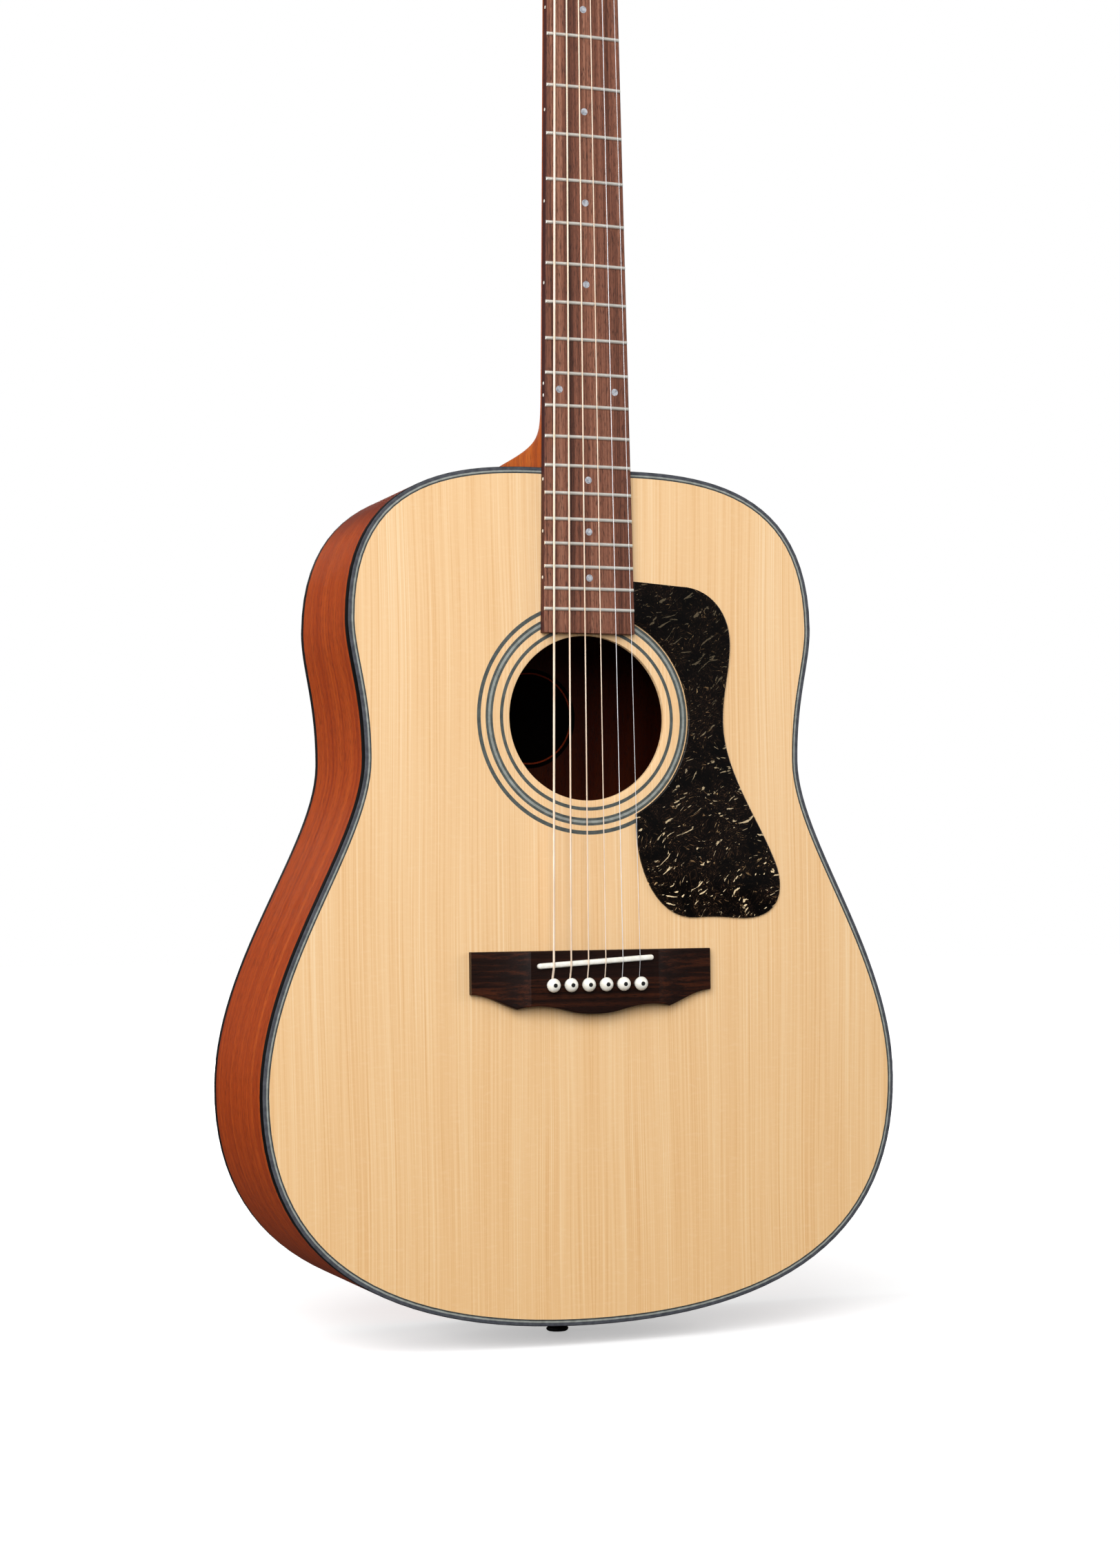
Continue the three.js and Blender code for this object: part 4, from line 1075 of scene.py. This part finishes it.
def make_housing(n, side, local):
    """The gear case with its barrel through the head, the nut that holds it in front, and its screw."""
    x0, x1 = sorted((-side * CASE_INNER, side * CASE_OUTER))
    corners = [(x0, -CASE_LOW), (x0, CASE_HIGH), (x1, CASE_HIGH), (x1, -CASE_LOW)]
    corners = round_corners(corners, 4.5, 8)
    case = plate(corners, HEAD_BACK, CASE_BACK, front_edge=0.4, back_edge=2.2)
    worm_ends = min(0, side * 30) - 7, max(0, side * 30) + 7
    cuts = [
        rod(POST_RADIUS + FIT, -30, GEAR_LOW + 1),
        rod(GEAR_RADIUS + FIT, GEAR_LOW - FIT, GEAR_HIGH + FIT),
        drill("x", WORM_RADIUS + FIT, *worm_ends, WORM_Y, -WORM_DROP),
    ]
    name = "machine_%d_" % n
    joins = [rod(BARREL_RADIUS, NUT_FACE - 1, HEAD_BACK + 1)]
    piece(name + "case", case, NICKEL, "tuner_housing_%d" % n, local=local, joins=joins, cuts=cuts)
    washer = ring(POST_RADIUS + FIT, 6.6, NUT_FACE - 0.9, NUT_FACE, count=36)
    piece(name + "washer", washer, NICKEL, local=local)
    hexagon = round_corners(circle(5.9, count=6), 0.6, 3)
    hole = circle(POST_RADIUS + FIT, clockwise=False)
    bushing = plate(hexagon, NUT_FACE - 3.4, NUT_FACE - 0.95, [hole], front_edge=0.5)
    piece(name + "bushing", bushing, NICKEL, local=local)
    screw_place = local @ Matrix.Translation((-side * 5.2, CASE_BACK, -9.2))
    screw = lathe([(0.0, 0.9), (1.0, 0.85), (1.7, 0.55), (2.0, 0.05), (2.0, 0.01), (0.0, 0.01)], count=24)
    piece(name + "screw", screw, NICKEL, local=screw_place, cuts=[block(-0.3, 0.3, 0.45, 2, -3, 3)])


def make_post(n, local):
    profile = [(0.0, -22), (1.9, -22), (2.45, -21.8), (2.8, -21.3), (POST_RADIUS, -20.7), (POST_RADIUS, -17)]
    profile += [(2.7, -16.1), (2.4, -15), (2.4, -10.5), (2.6, -9.2), (POST_RADIUS, -8.5)]
    profile += [(POST_RADIUS, GEAR_LOW), (GEAR_RADIUS, GEAR_LOW), (GEAR_RADIUS, GEAR_HIGH)]
    post = lathe(profile + [(0.0, GEAR_HIGH)], count=36)
    eye = drill("z", 0.9, -8, 8, 0, STRING_HOLE_Y, 16)
    piece("machine_%d_post" % n, post, NICKEL, "tuner_post_%d" % n, "post_%d" % n, local, cuts=[eye])


def make_button(n, side, local):
    """The worm's shaft, turned outwards with its collar, and the knob on its end."""
    reach = CASE_OUTER
    shaft = [(0.0, -5.5), (WORM_RADIUS, -5.5)]
    collar = [(WORM_RADIUS, 1.2), (3.2, 1.4), (3.6, 2), (3.6, 5.6), (3.3, 6.4), (2.2, 7.3)]
    shaft += [(radius, reach + out) for radius, out in collar + [(2, 8), (2, 12), (0.0, 12)]]
    outwards = Matrix.Rotation(-side * math.pi / 2, 4, "Z")
    half = chain(
        (23.9, 0),
        ((24, -2), (23.9, -4), (23.5, -5)),
        ((22, -11.5), (9.5, -9.5), (8.5, -3.5)),
        ((8.3, -2), (8.2, -1), (8.2, 0)),
        count=12,
    )
    loop = [(side * (x + reach), z) for x, z in half + [(x, -z) for x, z in half[-2:0:-1]]]
    knob = plate(loop[::side], -3.6, 3.6, front_edge=2.4, back_edge=2.4)
    joins = [moved(lathe(shaft), outwards)]
    piece("machine_%d_knob" % n, knob, NICKEL, "tuner_button_%d" % n, "button_%d" % n, local, joins)


def make_windings(n, side, local):
    """Turns of the string round the waist of its post."""
    r = STRING_RADII[n - 1]
    turns, steps = 3, 28
    radius = WINDING_RADIUS + r
    pitch = 2 * r + 0.06
    path = []
    for a in evenly(0, 2 * math.pi * turns, turns * steps):
        y = WINDING_START - r - pitch * a / (2 * math.pi)
        path.append(Vector((-side * radius * math.cos(a), y, radius * math.sin(a))))
    piece("string_%d_turns" % n, tube(path, r * 0.98, 10), string_look(n), None, "post_%d" % n, local)


def make_machines():
    for n, side, x, z in machines():
        local = HEAD @ Matrix.Translation((x, 0, z))
        make_housing(n, side, local)
        make_post(n, local)
        make_windings(n, side, local)
        make_button(n, side, HEAD @ Matrix.Translation((x, WORM_Y, z - WORM_DROP)))

# --- strings


def string_look(n):
    return BRONZE if n > 2 else STEEL


def tube(path, radius, count=12):
    """A round wire along a path, its section kept from twisting."""
    rings = []
    side = Vector((1, 0, 0))
    for i, here in enumerate(path):
        ahead = (path[min(i + 1, len(path) - 1)] - path[max(i - 1, 0)]).normalized()
        side = (side - ahead * side.dot(ahead)).normalized()
        other = ahead.cross(side)
        angles = evenly(0, 2 * math.pi, count)[:-1]
        rings.append([here + (side * math.cos(a) + other * math.sin(a)) * radius for a in angles])
    return solid(rings)


def eased(corners, reach=0.7, steps=4):
    """A path with each inner corner turned into a short curve."""
    corners = [Vector(corner) for corner in corners]
    path = [corners[0]]
    for before, here, after in zip(corners, corners[1:], corners[2:]):
        near = min(reach, (here - before).length * 0.45, (after - here).length * 0.45)
        start = here + (before - here).normalized() * near
        end = here + (after - here).normalized() * near
        for t in evenly(0, 1, steps):
            path.append(start * (1 - t) ** 2 + here * 2 * t * (1 - t) + end * t * t)
    return path + [corners[-1]]


def make_strings():
    """Each string runs from its ball under the top, up its pin's groove, over saddle and nut, to its post."""
    inside = PLATE + GAP + 3  # under the bridge plate
    groove_z = PIN_Z + 2.05
    ball_z = PIN_Z + PIN_HOLE_RADIUS + BALL_RADIUS
    for n, side, x, z in machines():
        r = STRING_RADII[n - 1]
        pin_x, saddle_x, nut_x = (shared_out(span, n) for span in (PIN_SPAN, SADDLE_SPAN, NUT_SPAN))
        saddle_z = SADDLE_Z + saddle_x * math.tan(SADDLE_SLANT)
        saddle_top = -BRIDGE_HEIGHT - SADDLE_RISE - r - 0.02
        nut_top = NUT_TOP - r - 0.02
        corners = [
            (pin_x, inside + GAP + BALL_RADIUS, ball_z - 0.5),
            (pin_x, inside + 1.2, groove_z),
            (pin_x, -BRIDGE_HEIGHT - 0.4, groove_z),
            (pin_x, -BRIDGE_HEIGHT - r - 0.55, groove_z + 1.3),
            (saddle_x, saddle_top, saddle_z - 1.3),
            (saddle_x, saddle_top, saddle_z + 1.3),
            (nut_x, nut_top, NUT_Z),
            (nut_x, nut_top, NUT_Z + NUT_THICK),
            HEAD @ Vector((x - side * (WINDING_RADIUS + r), WINDING_START - r, z)),
        ]
        piece("string_%d_wire" % n, tube(eased(corners), r), string_look(n), "string_%d" % n)
        ball = moved(ring(0.75, BALL_RADIUS, -1.7, 1.7, count=24), Matrix.Rotation(math.pi / 2, 4, "Z"))
        place = Matrix.Translation((pin_x, inside + GAP + BALL_RADIUS, ball_z))
        piece("string_%d_ball" % n, ball, BRONZE, local=place)

# --- strap button and the parts inside


def make_strap_button():
    profile = [(0.0, -26), (PEG_RADIUS, -26), (PEG_RADIUS, 0.4), (4.5, 1.4), (4.6, 2.5), (4.2, 3.8), (3.9, 5)]
    profile += [(3.9, 6.2), (4.2, 7.5), (5.2, 8.9), (6.2, 9.6), (6.7, 10.1), (6.7, BUTTON_RISE - 1.2)]
    profile += [(6.4, BUTTON_RISE - 0.5), (5.7, BUTTON_RISE), (2.9, BUTTON_RISE), (2.6, BUTTON_RISE - 0.6)]
    shape = lathe(profile + [(0.0, BUTTON_RISE - 0.6)], count=48)
    local = Matrix.Translation((0, DEPTH_TAIL / 2, 0)) @ Matrix.Rotation(-math.pi / 2, 4, "X")
    piece("strap_button_turned", shape, BLACK, "strap_button", local=local)


def dress_nodes():
    """The wood and steel inside the body keep their CAD shape and get the same materials."""
    looks = {"brace": BRACE_WOOD, "tone_bar": BRACE_WOOD, "lining": BRACE_WOOD, "block": NECK_WOOD}
    looks |= {"bridge_plate": BOARD_WOOD, "truss_rod": STEEL}
    for name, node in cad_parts.items():
        for word, look in looks.items():
            if word in name and not node.hide_render:
                node.data.materials.clear()
                node.data.materials.append(look.material)


make_soundboard()
make_rosette()
make_bindings()
make_back()
make_side("side_bass_bent", -1, "side_bass")
make_side("side_treble_bent", 1, "side_treble")
make_label()
make_bridge()
make_pins()
make_pickguard()
make_neck()
make_heel_cap()
make_fretboard()
make_frets()
make_dots()
make_nut()
make_headplate()
make_machines()
make_strings()
make_strap_button()
dress_nodes()

# --- floor and light


def mix_by_ray(tree, otherwise, straight, output):
    """One shader for what the eye sees straight, and another for light that comes by any other way."""
    path, mix = tree.nodes.new("ShaderNodeLightPath"), tree.nodes.new("ShaderNodeMixShader")
    for source, socket in zip((path.outputs["Is Camera Ray"], otherwise, straight), mix.inputs):
        tree.links.new(source, socket)
    tree.links.new(mix.outputs["Shader"], tree.nodes[output].inputs["Surface"])


def stage_floor():
    """A wide pale floor that glows a little away from the guitar, as one with lights of its own does."""
    rim = [(x, z, cad_low.z - 0.0005) for x, z in circle(9.0, count=64)]
    mesh = bpy.data.meshes.new("floor")
    mesh.from_pydata(rim, [], [tuple(range(len(rim)))])
    floor = bpy.data.objects.new("floor", mesh)
    scene.collection.objects.link(floor)
    look = Look("floor_paint", roughness=0.9, specular_ior_level=0.1, emission_color=(1, 1, 1, 1))
    place = look.place()
    shade = look.noise(place, scale=3, detail=3)
    paint = look.ramp(shade, (0.3, rgb(248, 248, 248)), (0.7, rgb(252, 252, 252)))
    look.feed(look.shader.inputs["Base Color"], paint)
    distance = look.add("VectorMath", {"operation": "LENGTH"}, Vector=place).outputs["Value"]
    glow = look.spread(distance, 0.4, 1.0, From_Min=0.3, From_Max=2.2)
    look.feed(look.shader.inputs["Emission Strength"], glow)
    grey = look.add("BsdfDiffuse", Color=(0.12, 0.12, 0.12, 1)).outputs["BSDF"]
    mix_by_ray(look.material.node_tree, grey, look.shader.outputs["BSDF"], "Material Output")
    mesh.materials.append(look.material)


def area_light(name, place, size, power):
    data = bpy.data.lights.new(name, "AREA")
    data.shape = "RECTANGLE"
    data.size, data.size_y = size
    data.energy = power
    light = bpy.data.objects.new(name, data)
    light.location = place
    aim = Vector((0, 0, 0.35))  # the middle of the body
    light.rotation_euler = (aim - Vector(place)).to_track_quat("-Z", "Y").to_euler()
    scene.collection.objects.link(light)


def light_scene():
    """A white studio: the backdrop is bright, and gives the guitar only part of its light."""
    world = bpy.data.worlds.new("studio")
    world.use_nodes = True
    nodes = world.node_tree.nodes
    soft, backdrop = nodes["Background"], nodes.new("ShaderNodeBackground")
    for background, strength in ((soft, 0.24), (backdrop, 1.0)):
        background.inputs["Color"].default_value = (1, 1, 1, 1)
        background.inputs["Strength"].default_value = strength
    mix_by_ray(world.node_tree, soft.outputs["Background"], backdrop.outputs["Background"], "World Output")
    scene.world = world
    area_light("key", (-1.4, -2.5, 1.65), (2.6, 2.6), 113)
    area_light("fill", (2.6, -1.3, 1.3), (1.2, 1.6), 20)
    area_light("back", (0.7, 2.7, 0.5), (1.6, 1.2), 30)
    area_light("rim", (-2.4, 0.0, 0.8), (0.8, 1.2), 26)
    scene.view_settings.view_transform = "Standard"
    scene.view_settings.look = "None"


stage_floor()
light_scene()
